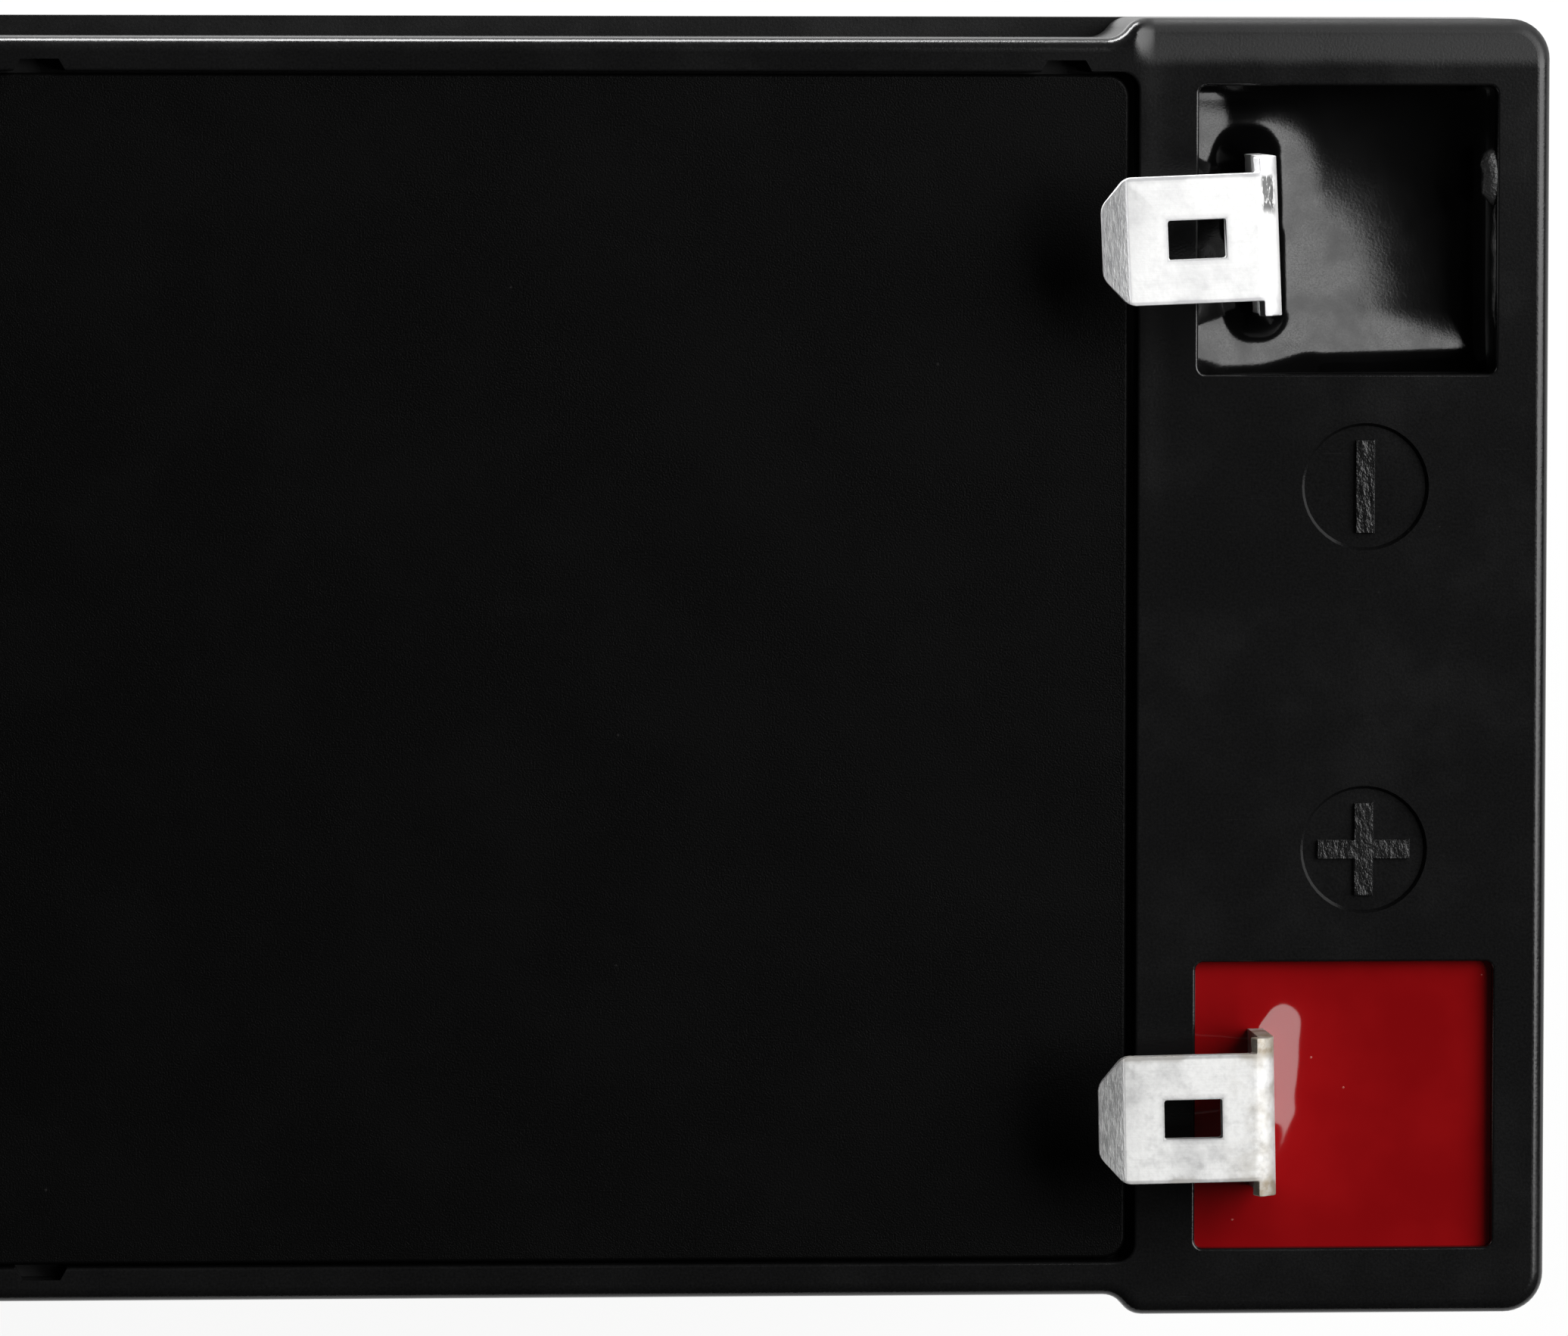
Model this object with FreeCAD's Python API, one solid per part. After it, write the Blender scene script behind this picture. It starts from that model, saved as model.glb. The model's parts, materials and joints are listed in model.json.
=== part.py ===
import FreeCAD, Part
import math
import os

# A sealed lead-acid battery with two push-on blade terminals at one end.
# Six cells stand in two rows of three, so the chain of cells turns back on itself and both
# terminals come out over the same short end. The glued lid carries a well for each vent, a
# cover plate over the vents, and a potted recess for each terminal.
# X runs along the battery towards the terminals, Y towards the negative one, Z up.
# The origin is the middle of the base. All sizes are in millimetres.

Vector = FreeCAD.Vector

# Overall size
LENGTH = 151.0
WIDTH = 65.0
TERMINAL_TOP = 99.5

# Lid shell
LID_HEIGHT = 14.0
FLANGE_HEIGHT = 4.0
FLANK_INSET = 1.0
LID_CORNER = 2.0
LID_EDGE = 0.7
END_BLOCK = 21.3
STEP_RUN = 0.8
STEP_RADIUS = 1.2
TOP_WALL = 2.4
LID_RIB = 0.9

# Joint between lid and container, filled with adhesive
LIP = 0.9
GLUE_GAP = 0.1
SEAT_DEPTH = 3.0

# Container
CASE_WALL = 2.0
CASE_FLOOR = 2.4
CASE_DRAFT = 0.4
CASE_CORNER = 2.4
CASE_FOOT_RADIUS = 0.8
PARTITION = 1.4
CELL_DRAFT = 0.3
CELL_CORNER = 1.0
REST_RIB_HEIGHT = 2.0
REST_RIB_WIDTH = 1.2
REST_RIB_PITCH = 24.0

# Cover plate over the vents, and the recess it lies in
COVER_END_MARGIN = 20.75
COVER_SIDE_MARGIN = 2.7
COVER_RECESS = 2.0
COVER_THICKNESS = 1.5
COVER_GAP = 0.4
COVER_CORNER = 1.2
RECESS_CORNER = 0.9
RECESS_EDGE = 0.15
COVER_EDGE = 0.2
NOTCH_WIDTH = 2.6
NOTCH_DEPTH = 0.6
NOTCH_SLOPE = 0.35
END_NOTCH_FROM_WALL = 3.6

# Vents, one over each cell
VENT_END_GAP = 4.25
VENT_WELL_RADIUS = 6.5
VENT_WELL_DEPTH = 7.0
VENT_WALL = 1.5
VENT_FLOOR = 1.8
NECK_RADIUS = 3.8
NECK_BORE_RADIUS = 2.0
NECK_HEIGHT = 5.0

# Rubber valve cap on each neck
CAP_WALL = 1.4
CAP_TOP = 1.2
CAP_FIT = 0.05
CAP_SKIRT_GAP = 0.6
CAP_BEAD = 0.5
CAP_BEAD_HEIGHT = 1.2
CAP_EDGE = 0.5
HOLD_DOWN_GAP = 0.1
HOLD_DOWN_RADIUS = 2.6

# Terminal recesses
TERMINAL_POCKET_LENGTH = 15.0
TERMINAL_POCKET_WIDTH = 14.4
TERMINAL_END_MARGIN = 2.7
TERMINAL_SIDE_MARGIN = 3.35
TERMINAL_POCKET_DEPTH = 7.0
TERMINAL_POCKET_CORNER = 0.4
TERMINAL_WALL = 1.8
TERMINAL_FLOOR = 2.0

# Polarity signs beside the recesses
SIGN_FROM_END = 9.25
SIGN_FROM_POCKET = 2.45
SIGN_RADIUS = 3.2
SIGN_DEPTH = 0.3
SIGN_SLOPE = 0.15
SIGN_BAR_LENGTH = 4.6
SIGN_BAR_WIDTH = 0.9
SIGN_BAR_HEIGHT = 0.25

# Lead terminal post, its rubber seal and the solder over it
POST_RADIUS = 3.0
POST_CLEARANCE = 0.15
POST_FOOT_RADIUS = 4.2
POST_FOOT_HEIGHT = 1.5
SPIGOT_RADIUS = 2.0
SPIGOT_STAND = 1.4
SEAL_SECTION = 1.9
SEAL_FIT = 0.05
SOLDER_RADIUS = 3.1
SOLDER_TOP_RADIUS = 2.5
SOLDER_COVER = 0.4

# Blade terminals, bent from one strip
STRIP = 0.8
STRIP_BEND = 0.4
BLADE_WIDTH = 6.35
BLADE_REACH = 8.9
BLADE_ABOVE_LID = 5.5
BLADE_TIP_LENGTH = 1.25
BLADE_TIP_CUT = 1.4
BLADE_BEVEL_DEPTH = 0.25
BLADE_HOLE_LENGTH = 2.9
BLADE_HOLE_WIDTH = 1.95
BLADE_HOLE_FROM_TIP = 4.7
LEG_WIDTH = 7.9
LEG_FROM_POST = 4.0
SHOULDER_LENGTH = 0.95
SHOULDER_RADIUS = 0.3
RING_RADIUS = 3.4
RING_CLEARANCE = 0.1
NEGATIVE_TURN = 2.4
POSITIVE_TURN = 1.1

# Epoxy potting in the recesses
NEGATIVE_POTTING_BELOW_LID = 3.4
POSITIVE_POTTING_BELOW_LID = 1.2
POTTING_DISH_RADIUS = 60.0
COLLAR_SPREAD = 1.5
COLLAR_RISE = 0.8
COLLAR_ROOT = 0.3
COLLAR_TIP = 0.25

# Plates, glass mats and straps of a cell. The thickness of a plate is given in mats, because
# the stack is pressed to fill its cell.
POSITIVE_PLATES = 4
POSITIVE_IN_MATS = 2.7
NEGATIVE_IN_MATS = 1.8
CELL_HEADROOM = 13.6
PLATE_END_GAP = 1.4
STACK_GAP = 0.2
MAT_OVERHANG = 0.7
MAT_ABOVE_PLATE = 1.5
MAT_FOLD_RADIUS = 0.6
LUG_WIDTH = 8.0
LUG_THICKNESS = 1.5
LUG_FROM_EDGE = 1.5
STRAP_WIDTH = 9.0
STRAP_HEIGHT = 3.5
STRAP_ABOVE_PLATE = 3.0
STRAP_END = 0.5

# Welds through the partitions
LINK_WIDTH = 9.0
LINK_THICKNESS = 2.0
LINK_ROUND = 3.5
LINK_HOLE_RADIUS = 3.2
LINK_BELOW_LID = 0.7

# Levels and places that follow from the sizes above
LID_TOP = TERMINAL_TOP - BLADE_ABOVE_LID
LID_JOINT = LID_TOP - LID_HEIGHT
RIM_TOP = LID_JOINT + SEAT_DEPTH
FLANGE_TOP = LID_JOINT + FLANGE_HEIGHT
RECESS_FLOOR = LID_TOP - COVER_RECESS
COVER_TOP = RECESS_FLOOR + COVER_THICKNESS
DECK_UNDERSIDE = RECESS_FLOOR - TOP_WALL
BLOCK_UNDERSIDE = LID_TOP - TOP_WALL
VENT_WELL_FLOOR = RECESS_FLOOR - VENT_WELL_DEPTH
NECK_TOP = VENT_WELL_FLOOR + NECK_HEIGHT
POCKET_FLOOR = LID_TOP - TERMINAL_POCKET_DEPTH
CASE_LENGTH = LENGTH - 2 * (LIP + GLUE_GAP)
CASE_WIDTH = WIDTH - 2 * (LIP + GLUE_GAP)
CELL_LENGTH = (CASE_LENGTH - 2 * CASE_WALL - 2 * PARTITION) / 3
CELL_WIDTH = (CASE_WIDTH - 2 * CASE_WALL - PARTITION) / 2
CELL_PITCH_X = CELL_LENGTH + PARTITION
CELL_Y = (CELL_WIDTH + PARTITION) / 2
RECESS_HALF_LENGTH = LENGTH / 2 - COVER_END_MARGIN
RECESS_HALF_WIDTH = WIDTH / 2 - COVER_SIDE_MARGIN
VENT_PITCH = RECESS_HALF_LENGTH - VENT_END_GAP - VENT_WELL_RADIUS
TERMINAL_X = LENGTH / 2 - TERMINAL_END_MARGIN - TERMINAL_POCKET_LENGTH / 2
TERMINAL_Y = WIDTH / 2 - TERMINAL_SIDE_MARGIN - TERMINAL_POCKET_WIDTH / 2
SIGN_Y = TERMINAL_Y - TERMINAL_POCKET_WIDTH / 2 - SIGN_FROM_POCKET - SIGN_RADIUS
REST_LEVEL = CASE_FLOOR + REST_RIB_HEIGHT
PLATE_TOP = LID_JOINT - CELL_HEADROOM
PLATE_LENGTH = CELL_LENGTH - 2 * (CELL_DRAFT + PLATE_END_GAP)
STRAP_LEVEL = PLATE_TOP + STRAP_ABOVE_PLATE
STRAP_TOP = STRAP_LEVEL + STRAP_HEIGHT
STRAP_X = PLATE_LENGTH / 2 - LUG_FROM_EDGE - LUG_WIDTH / 2
LINK_LEVEL = LID_JOINT - LINK_BELOW_LID - LINK_WIDTH / 2
LINK_CLEARANCE = CELL_DRAFT * (RIM_TOP - STRAP_LEVEL) / (RIM_TOP - CASE_FLOOR)
STACK = CELL_WIDTH - 2 * (CELL_DRAFT + STACK_GAP)
NEGATIVE_PLATES = POSITIVE_PLATES + 1
STACK_IN_MATS = POSITIVE_PLATES * (POSITIVE_IN_MATS + 2) + NEGATIVE_PLATES * NEGATIVE_IN_MATS
MAT = STACK / STACK_IN_MATS
POSITIVE_THICKNESS = POSITIVE_IN_MATS * MAT
NEGATIVE_THICKNESS = NEGATIVE_IN_MATS * MAT
PLATE_PITCH = POSITIVE_THICKNESS + NEGATIVE_THICKNESS + 2 * MAT
SEAL_HOUSING = SEAL_SECTION + SEAL_FIT
SEAL_SEAT_RADIUS = POST_RADIUS + SEAL_HOUSING + SEAL_FIT
SPIGOT_TOP = POCKET_FLOOR + STRIP + SPIGOT_STAND

# How far a cutting tool runs past the face it cuts, and the tolerance for finding edges
PAST = 1.0
TINY = 1e-3


def box(x0, x1, y0, y1, z0, z1):
    """A block between two corners."""
    return Part.makeBox(x1 - x0, y1 - y0, z1 - z0, Vector(x0, y0, z0))


def cylinder(x, y, z0, z1, radius):
    """An upright cylinder."""
    return Part.makeCylinder(radius, z1 - z0, Vector(x, y, z0))


def outline(corners, place):
    """A closed wire through corners (u, v, radius), each rounded by its radius.

    place turns a flat (u, v) vector into a point in space."""
    points = [Vector(u, v, 0) for u, v, radius in corners]
    edges = []
    starts, ends, middles = [], [], []
    for i, (u, v, radius) in enumerate(corners):
        here = points[i]
        back = (points[i - 1] - here).normalize()
        ahead = (points[(i + 1) % len(points)] - here).normalize()
        half = back.getAngle(ahead) / 2
        reach = radius / math.tan(half) if radius else 0.0
        starts.append(here + back * reach)
        ends.append(here + ahead * reach)
        middle = (back + ahead).normalize() * (radius / math.sin(half) - radius) if radius else Vector()
        middles.append(here + middle)
    for i in range(len(corners)):
        if corners[i][2]:
            edges.append(Part.Arc(place(starts[i]), place(middles[i]), place(ends[i])).toShape())
        after = (i + 1) % len(corners)
        if (starts[after] - ends[i]).Length > 1e-6:
            edges.append(Part.makeLine(place(ends[i]), place(starts[after])))
    return Part.Wire(edges)


def level_outline(corners, z):
    """A rounded wire lying level at height z."""
    return outline(corners, lambda p: Vector(p.x, p.y, z))


def rectangle(length, width, radius, z, x=0.0, y=0.0):
    """A level rectangle with rounded corners, centred on x, y."""
    signs = [(1, 1), (-1, 1), (-1, -1), (1, -1)]
    return level_outline([(x + a * length / 2, y + b * width / 2, radius) for a, b in signs], z)


def prism(wire, height):
    """The solid that a level wire sweeps upwards."""
    return Part.Face(wire).extrude(Vector(0, 0, height))


def edges_at(shape, z):
    """The edges of a shape that lie level at height z."""
    return [e for e in shape.Edges if abs(e.BoundBox.ZMin - z) < TINY and abs(e.BoundBox.ZMax - z) < TINY]


def mouth_edges(shape, z, length, width, x=0.0, y=0.0):
    """The level edges at height z that lie in a rectangle centred on x, y."""
    edges = []
    for edge in edges_at(shape, z):
        reach = edge.BoundBox
        in_length = reach.XMin > x - length / 2 - TINY and reach.XMax < x + length / 2 + TINY
        in_width = reach.YMin > y - width / 2 - TINY and reach.YMax < y + width / 2 + TINY
        if in_length and in_width:
            edges.append(edge)
    return edges


def pocket_outline(z, side):
    """The mouth of a terminal pocket, at height z."""
    return rectangle(TERMINAL_POCKET_LENGTH, TERMINAL_POCKET_WIDTH, TERMINAL_POCKET_CORNER,
                     z, TERMINAL_X, side * TERMINAL_Y)


def fuse(first, others):
    """One clean solid from several that meet."""
    return first.multiFuse(others).removeSplitter()


# The six cells in the order of the chain, from the negative terminal round to the positive one.
# Each holds its row (+1 by the negative terminal), its column (+1 at the terminal end) and the
# side of the cell, along X, that its positive strap lies on.
CELLS = [(1, 1, -1), (1, 0, -1), (1, -1, -1), (-1, -1, 1), (-1, 0, 1), (-1, 1, 1)]


def cell_centre(cell):
    """Middle of a cell in plan."""
    row, column, positive_side = cell
    return column * CELL_PITCH_X, row * CELL_Y


def vent_places():
    """Middle of each vent in plan, in the order of the cells."""
    return [(column * VENT_PITCH, row * CELL_Y) for row, column, positive_side in CELLS]


def link_hole(cell):
    """The bar that fills the weld hole between a cell and the next one in the chain."""
    row, column, positive_side = cell
    x, y = cell_centre(cell)
    if column == -1 and positive_side == -1:
        start = Vector(x + positive_side * STRAP_X, -PARTITION, LINK_LEVEL)
        return Part.makeCylinder(LINK_HOLE_RADIUS, 2 * PARTITION, start, Vector(0, 1, 0))
    wall = x + positive_side * CELL_PITCH_X / 2
    start = Vector(wall - PARTITION, y, LINK_LEVEL)
    return Part.makeCylinder(LINK_HOLE_RADIUS, 2 * PARTITION, start, Vector(1, 0, 0))


def container():
    """The drafted box with its partitions, the ribs that the plates stand on and the weld holes."""
    low = rectangle(CASE_LENGTH - 2 * CASE_DRAFT, CASE_WIDTH - 2 * CASE_DRAFT, CASE_CORNER, 0)
    high = rectangle(CASE_LENGTH, CASE_WIDTH, CASE_CORNER, RIM_TOP)
    body = Part.makeLoft([low, high], True, True)
    body = body.makeFillet(CASE_FOOT_RADIUS, edges_at(body, 0))
    cells, ribs = [], []
    for cell in CELLS:
        x, y = cell_centre(cell)
        length, width = CELL_LENGTH - 2 * CELL_DRAFT, CELL_WIDTH - 2 * CELL_DRAFT
        floor = rectangle(length, width, CELL_CORNER, CASE_FLOOR, x, y)
        mouth = rectangle(CELL_LENGTH, CELL_WIDTH, CELL_CORNER, RIM_TOP, x, y)
        cells.append(Part.makeLoft([floor, mouth], True, True))
        reach = width / 2 + CELL_DRAFT
        for side in (-1, 1):
            middle = x + side * REST_RIB_PITCH / 2
            x0, x1 = middle - REST_RIB_WIDTH / 2, middle + REST_RIB_WIDTH / 2
            ribs.append(box(x0, x1, y - reach, y + reach, CASE_FLOOR - CELL_DRAFT, REST_LEVEL))
    body = fuse(body.cut(cells), ribs)
    return body.cut([link_hole(cell) for cell in CELLS[:-1]])


def lid_top_outline(z):
    """The lid seen from above: full width at both end blocks, set in along the flanks between them."""
    end, side = LENGTH / 2, WIDTH / 2
    step = end - END_BLOCK
    quarter = [
        (end, side, LID_CORNER),
        (step + STEP_RUN / 2, side, STEP_RADIUS),
        (step - STEP_RUN / 2, side - FLANK_INSET, STEP_RADIUS),
    ]
    upper = quarter + [(-x, y, radius) for x, y, radius in reversed(quarter)]
    lower = [(-x, -y, radius) for x, y, radius in upper]
    return level_outline(upper + lower, z)


def rim_notch(x, side):
    """The tool for a gas notch in the rim round the cover plate, widening towards the plate."""
    wall = RECESS_HALF_WIDTH
    narrow, wide = NOTCH_WIDTH / 2 - NOTCH_SLOPE, NOTCH_WIDTH / 2
    corners = [
        (x - wide, side * (wall - PAST), 0),
        (x - wide, side * wall, 0),
        (x - narrow, side * (wall + NOTCH_DEPTH), 0),
        (x + narrow, side * (wall + NOTCH_DEPTH), 0),
        (x + wide, side * wall, 0),
        (x + wide, side * (wall - PAST), 0),
    ]
    return prism(level_outline(corners, RECESS_FLOOR), COVER_RECESS + PAST)


def sign(side, bars):
    """The tool for a round sunk sign, and the raised bars that stay on its floor."""
    x, y = LENGTH / 2 - SIGN_FROM_END, side * SIGN_Y
    floor = LID_TOP - SIGN_DEPTH
    dish = Part.makeCone(SIGN_RADIUS - SIGN_SLOPE, SIGN_RADIUS, SIGN_DEPTH, Vector(x, y, floor))
    raised = []
    for along_x in bars:
        half_x, half_y = SIGN_BAR_WIDTH / 2, SIGN_BAR_LENGTH / 2
        if along_x:
            half_x, half_y = half_y, half_x
        raised.append(box(x - half_x, x + half_x, y - half_y, y + half_y, floor, floor + SIGN_BAR_HEIGHT))
    return dish, raised


def lid_crown():
    """The upper part of the lid above its flange, with the cover's recess and the pockets' mouths."""
    crown = prism(lid_top_outline(FLANGE_TOP), LID_TOP - FLANGE_TOP)
    crown = crown.makeFillet(LID_EDGE, edges_at(crown, LID_TOP))
    length, width = 2 * RECESS_HALF_LENGTH, 2 * RECESS_HALF_WIDTH
    crown = crown.cut(prism(rectangle(length, width, RECESS_CORNER, RECESS_FLOOR), COVER_RECESS))
    crown = crown.makeFillet(RECESS_EDGE, mouth_edges(crown, LID_TOP, length, width))
    for side in (-1, 1):
        crown = crown.cut(prism(pocket_outline(RECESS_FLOOR, side), COVER_RECESS))
        edges = mouth_edges(crown, LID_TOP, TERMINAL_POCKET_LENGTH, TERMINAL_POCKET_WIDTH,
                            TERMINAL_X, side * TERMINAL_Y)
        crown = crown.makeFillet(RECESS_EDGE, edges)
    return crown


def lid_hollows():
    """The tools for the glue groove round each cell's collar and for the room under the roof."""
    rim = CASE_LENGTH + 2 * GLUE_GAP, CASE_WIDTH + 2 * GLUE_GAP
    groove = prism(rectangle(*rim, CASE_CORNER, LID_JOINT - PAST), SEAT_DEPTH + PAST)
    collar = CELL_LENGTH - 2 * GLUE_GAP, CELL_WIDTH - 2 * GLUE_GAP
    room = collar[0] - 2 * LID_RIB, collar[1] - 2 * LID_RIB
    low = LID_JOINT - PAST
    collars, tools = [], []
    for cell in CELLS:
        x, y = cell_centre(cell)
        collars.append(prism(rectangle(*collar, CELL_CORNER, low, x, y), SEAT_DEPTH + 2 * PAST))
        tools.append(prism(rectangle(*room, CELL_CORNER, low, x, y), DECK_UNDERSIDE - low))
    outer = CASE_LENGTH / 2 - CASE_WALL - GLUE_GAP - LID_RIB
    inner = RECESS_HALF_LENGTH + TOP_WALL
    near = PARTITION / 2 + GLUE_GAP + LID_RIB
    far = CASE_WIDTH / 2 - CASE_WALL - GLUE_GAP - LID_RIB
    for end in (-1, 1):
        for row in (-1, 1):
            x0, x1 = sorted((end * inner, end * outer))
            y0, y1 = sorted((row * near, row * far))
            tools.append(box(x0, x1, y0, y1, DECK_UNDERSIDE - PAST, BLOCK_UNDERSIDE))
    return [groove.cut(collars)] + tools


def lid_bosses():
    """The bosses under the roof that hold the vent wells and the terminal pockets."""
    low = VENT_WELL_FLOOR - VENT_FLOOR
    bosses = [cylinder(x, y, low, RECESS_FLOOR, VENT_WELL_RADIUS + VENT_WALL) for x, y in vent_places()]
    low = POCKET_FLOOR - SEAL_HOUSING - TERMINAL_FLOOR
    height = RECESS_FLOOR - low
    inside = prism(rectangle(LENGTH - 2 * TERMINAL_WALL, WIDTH - 2 * TERMINAL_WALL, LID_CORNER, low), height)
    for side in (-1, 1):
        size = TERMINAL_POCKET_LENGTH + 2 * TERMINAL_WALL, TERMINAL_POCKET_WIDTH + 2 * TERMINAL_WALL
        corner = TERMINAL_POCKET_CORNER + TERMINAL_WALL
        block = prism(rectangle(*size, corner, low, TERMINAL_X, side * TERMINAL_Y), height)
        bosses.append(block.common(inside))
    return bosses


def terminal_holes(side):
    """The tools for a terminal pocket, the seal's seat under it and the hole for the post."""
    y = side * TERMINAL_Y
    return [
        prism(pocket_outline(POCKET_FLOOR, side), RECESS_FLOOR - POCKET_FLOOR),
        cylinder(TERMINAL_X, y, POCKET_FLOOR - SEAL_HOUSING, POCKET_FLOOR + PAST, SEAL_SEAT_RADIUS),
        cylinder(TERMINAL_X, y, LID_JOINT, POCKET_FLOOR, POST_RADIUS + POST_CLEARANCE),
    ]


def lid():
    """The moulded lid: flange, glue groove, cell roofs, vent wells with necks, terminal pockets and signs."""
    flange = prism(rectangle(LENGTH, WIDTH, LID_CORNER, LID_JOINT), FLANGE_HEIGHT)
    shell = fuse(lid_crown(), [flange]).cut(lid_hollows())
    shell = fuse(shell, lid_bosses())
    tools = [cylinder(x, y, VENT_WELL_FLOOR, RECESS_FLOOR + PAST, VENT_WELL_RADIUS) for x, y in vent_places()]
    end_notch = RECESS_HALF_LENGTH - END_NOTCH_FROM_WALL
    tools += [rim_notch(0.0, 1), rim_notch(0.0, -1), rim_notch(end_notch, 1), rim_notch(-end_notch, 1)]
    for side in (-1, 1):
        tools += terminal_holes(side)
    minus_dish, minus_bars = sign(1, [False])
    plus_dish, plus_bars = sign(-1, [False, True])
    shell = shell.cut(tools + [minus_dish, plus_dish])
    low = VENT_WELL_FLOOR - VENT_FLOOR
    necks = [cylinder(x, y, low, NECK_TOP, NECK_RADIUS) for x, y in vent_places()]
    shell = fuse(shell, necks + minus_bars + plus_bars)
    return shell.cut([cylinder(x, y, LID_JOINT, NECK_TOP + PAST, NECK_BORE_RADIUS) for x, y in vent_places()])


def vent_cover():
    """The plate glued into the lid over the vents, with a round pad on its underside over each cap."""
    length = 2 * (RECESS_HALF_LENGTH - COVER_GAP)
    width = 2 * (RECESS_HALF_WIDTH - COVER_GAP)
    plate = prism(rectangle(length, width, COVER_CORNER, RECESS_FLOOR), COVER_THICKNESS)
    plate = plate.makeFillet(COVER_EDGE, edges_at(plate, COVER_TOP))
    pad_low = NECK_TOP + CAP_TOP + HOLD_DOWN_GAP
    pads = [cylinder(x, y, pad_low, RECESS_FLOOR, HOLD_DOWN_RADIUS) for x, y in vent_places()]
    return fuse(plate, pads)


def valve_cap(x, y):
    """A rubber cup pushed over a vent neck, with a bead round the mouth of its skirt."""
    bore = NECK_RADIUS + CAP_FIT
    low, top = VENT_WELL_FLOOR + CAP_SKIRT_GAP, NECK_TOP + CAP_TOP
    skirt = bore + CAP_WALL
    corners = [
        (0, top, 0),
        (skirt, top, CAP_EDGE),
        (skirt, low + CAP_BEAD_HEIGHT, 0),
        (skirt + CAP_BEAD, low + CAP_BEAD_HEIGHT, 0),
        (skirt + CAP_BEAD, low, 0),
        (bore, low, 0),
        (bore, NECK_TOP, 0),
        (0, NECK_TOP, 0),
    ]
    profile = Part.Face(outline(corners, lambda p: Vector(x + p.x, y, p.y)))
    return profile.revolve(Vector(x, y, 0), Vector(0, 0, 1), 360)


def blade_terminal(side, turn):
    """The bent strip: a ring round the post, a wide leg and a blade with a latch hole, a little turned."""
    low, ring_top = POCKET_FLOOR, POCKET_FLOOR + STRIP
    blade_low = TERMINAL_TOP - STRIP
    leg_out, leg_in = -LEG_FROM_POST, -LEG_FROM_POST - STRIP
    tip = leg_out - BLADE_REACH
    bevel = tip + BLADE_TIP_LENGTH
    outer_bend = STRIP_BEND + STRIP
    ring_end = RING_RADIUS + PAST
    profile = [
        (ring_end, low, 0),
        (leg_in, low, outer_bend),
        (leg_in, blade_low, STRIP_BEND),
        (bevel, blade_low, 0),
        (tip, blade_low + BLADE_BEVEL_DEPTH, 0),
        (tip, TERMINAL_TOP - BLADE_BEVEL_DEPTH, 0),
        (bevel, TERMINAL_TOP, 0),
        (leg_out, TERMINAL_TOP, outer_bend),
        (leg_out, ring_top, STRIP_BEND),
        (ring_end, ring_top, 0),
    ]
    face = Part.Face(outline(profile, lambda p: Vector(p.x, -LEG_WIDTH, p.y)))
    strip = face.extrude(Vector(0, 2 * LEG_WIDTH, 0))
    blade, leg = BLADE_WIDTH / 2, LEG_WIDTH / 2
    shoulder = leg_out - SHOULDER_LENGTH
    half = [
        (leg_out, leg, 0),
        (shoulder, leg, SHOULDER_RADIUS),
        (shoulder, blade, SHOULDER_RADIUS),
        (bevel, blade, 0),
        (tip, blade - BLADE_TIP_CUT, 0),
    ]
    plan = half + [(x, -y, radius) for x, y, radius in reversed(half)]
    height = TERMINAL_TOP - low + 2 * PAST
    above = prism(level_outline(plan, low - PAST), height)
    neck = box(leg_out, 0, -RING_RADIUS, RING_RADIUS, low - PAST, ring_top + STRIP_BEND)
    ring = cylinder(0, 0, low - PAST, low + height, RING_RADIUS)
    blank = strip.common(fuse(above, [neck, ring]))
    hole_middle = tip + BLADE_HOLE_FROM_TIP
    hole = box(hole_middle - BLADE_HOLE_LENGTH / 2, hole_middle + BLADE_HOLE_LENGTH / 2,
               -BLADE_HOLE_WIDTH / 2, BLADE_HOLE_WIDTH / 2, blade_low - PAST, TERMINAL_TOP + PAST)
    eye = cylinder(0, 0, low - PAST, ring_top + PAST, SPIGOT_RADIUS + RING_CLEARANCE)
    terminal = blank.cut([hole, eye]).removeSplitter()
    terminal.rotate(Vector(0, 0, 0), Vector(0, 0, 1), turn)
    terminal.translate(Vector(TERMINAL_X, side * TERMINAL_Y, 0))
    return terminal


def solder(side):
    """The solder cap that fills the ring's eye and covers the top of the lead spigot."""
    y = side * TERMINAL_Y
    low = POCKET_FLOOR + STRIP
    height = SPIGOT_STAND + SOLDER_COVER
    cap = Part.makeCone(SOLDER_RADIUS, SOLDER_TOP_RADIUS, height, Vector(TERMINAL_X, y, low))
    fill = cylinder(TERMINAL_X, y, POCKET_FLOOR, low, SPIGOT_RADIUS + RING_CLEARANCE)
    spigot = cylinder(TERMINAL_X, y, POCKET_FLOOR - PAST, SPIGOT_TOP, SPIGOT_RADIUS)
    return fuse(cap, [fill]).cut(spigot)


def post_seal(side):
    """The rubber ring round the lead post, under the terminal's ring."""
    ring = Part.makeTorus(POST_RADIUS + SEAL_FIT + SEAL_SECTION / 2, SEAL_SECTION / 2)
    ring.translate(Vector(TERMINAL_X, side * TERMINAL_Y, POCKET_FLOOR - SEAL_HOUSING + SEAL_SECTION / 2))
    return ring


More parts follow.
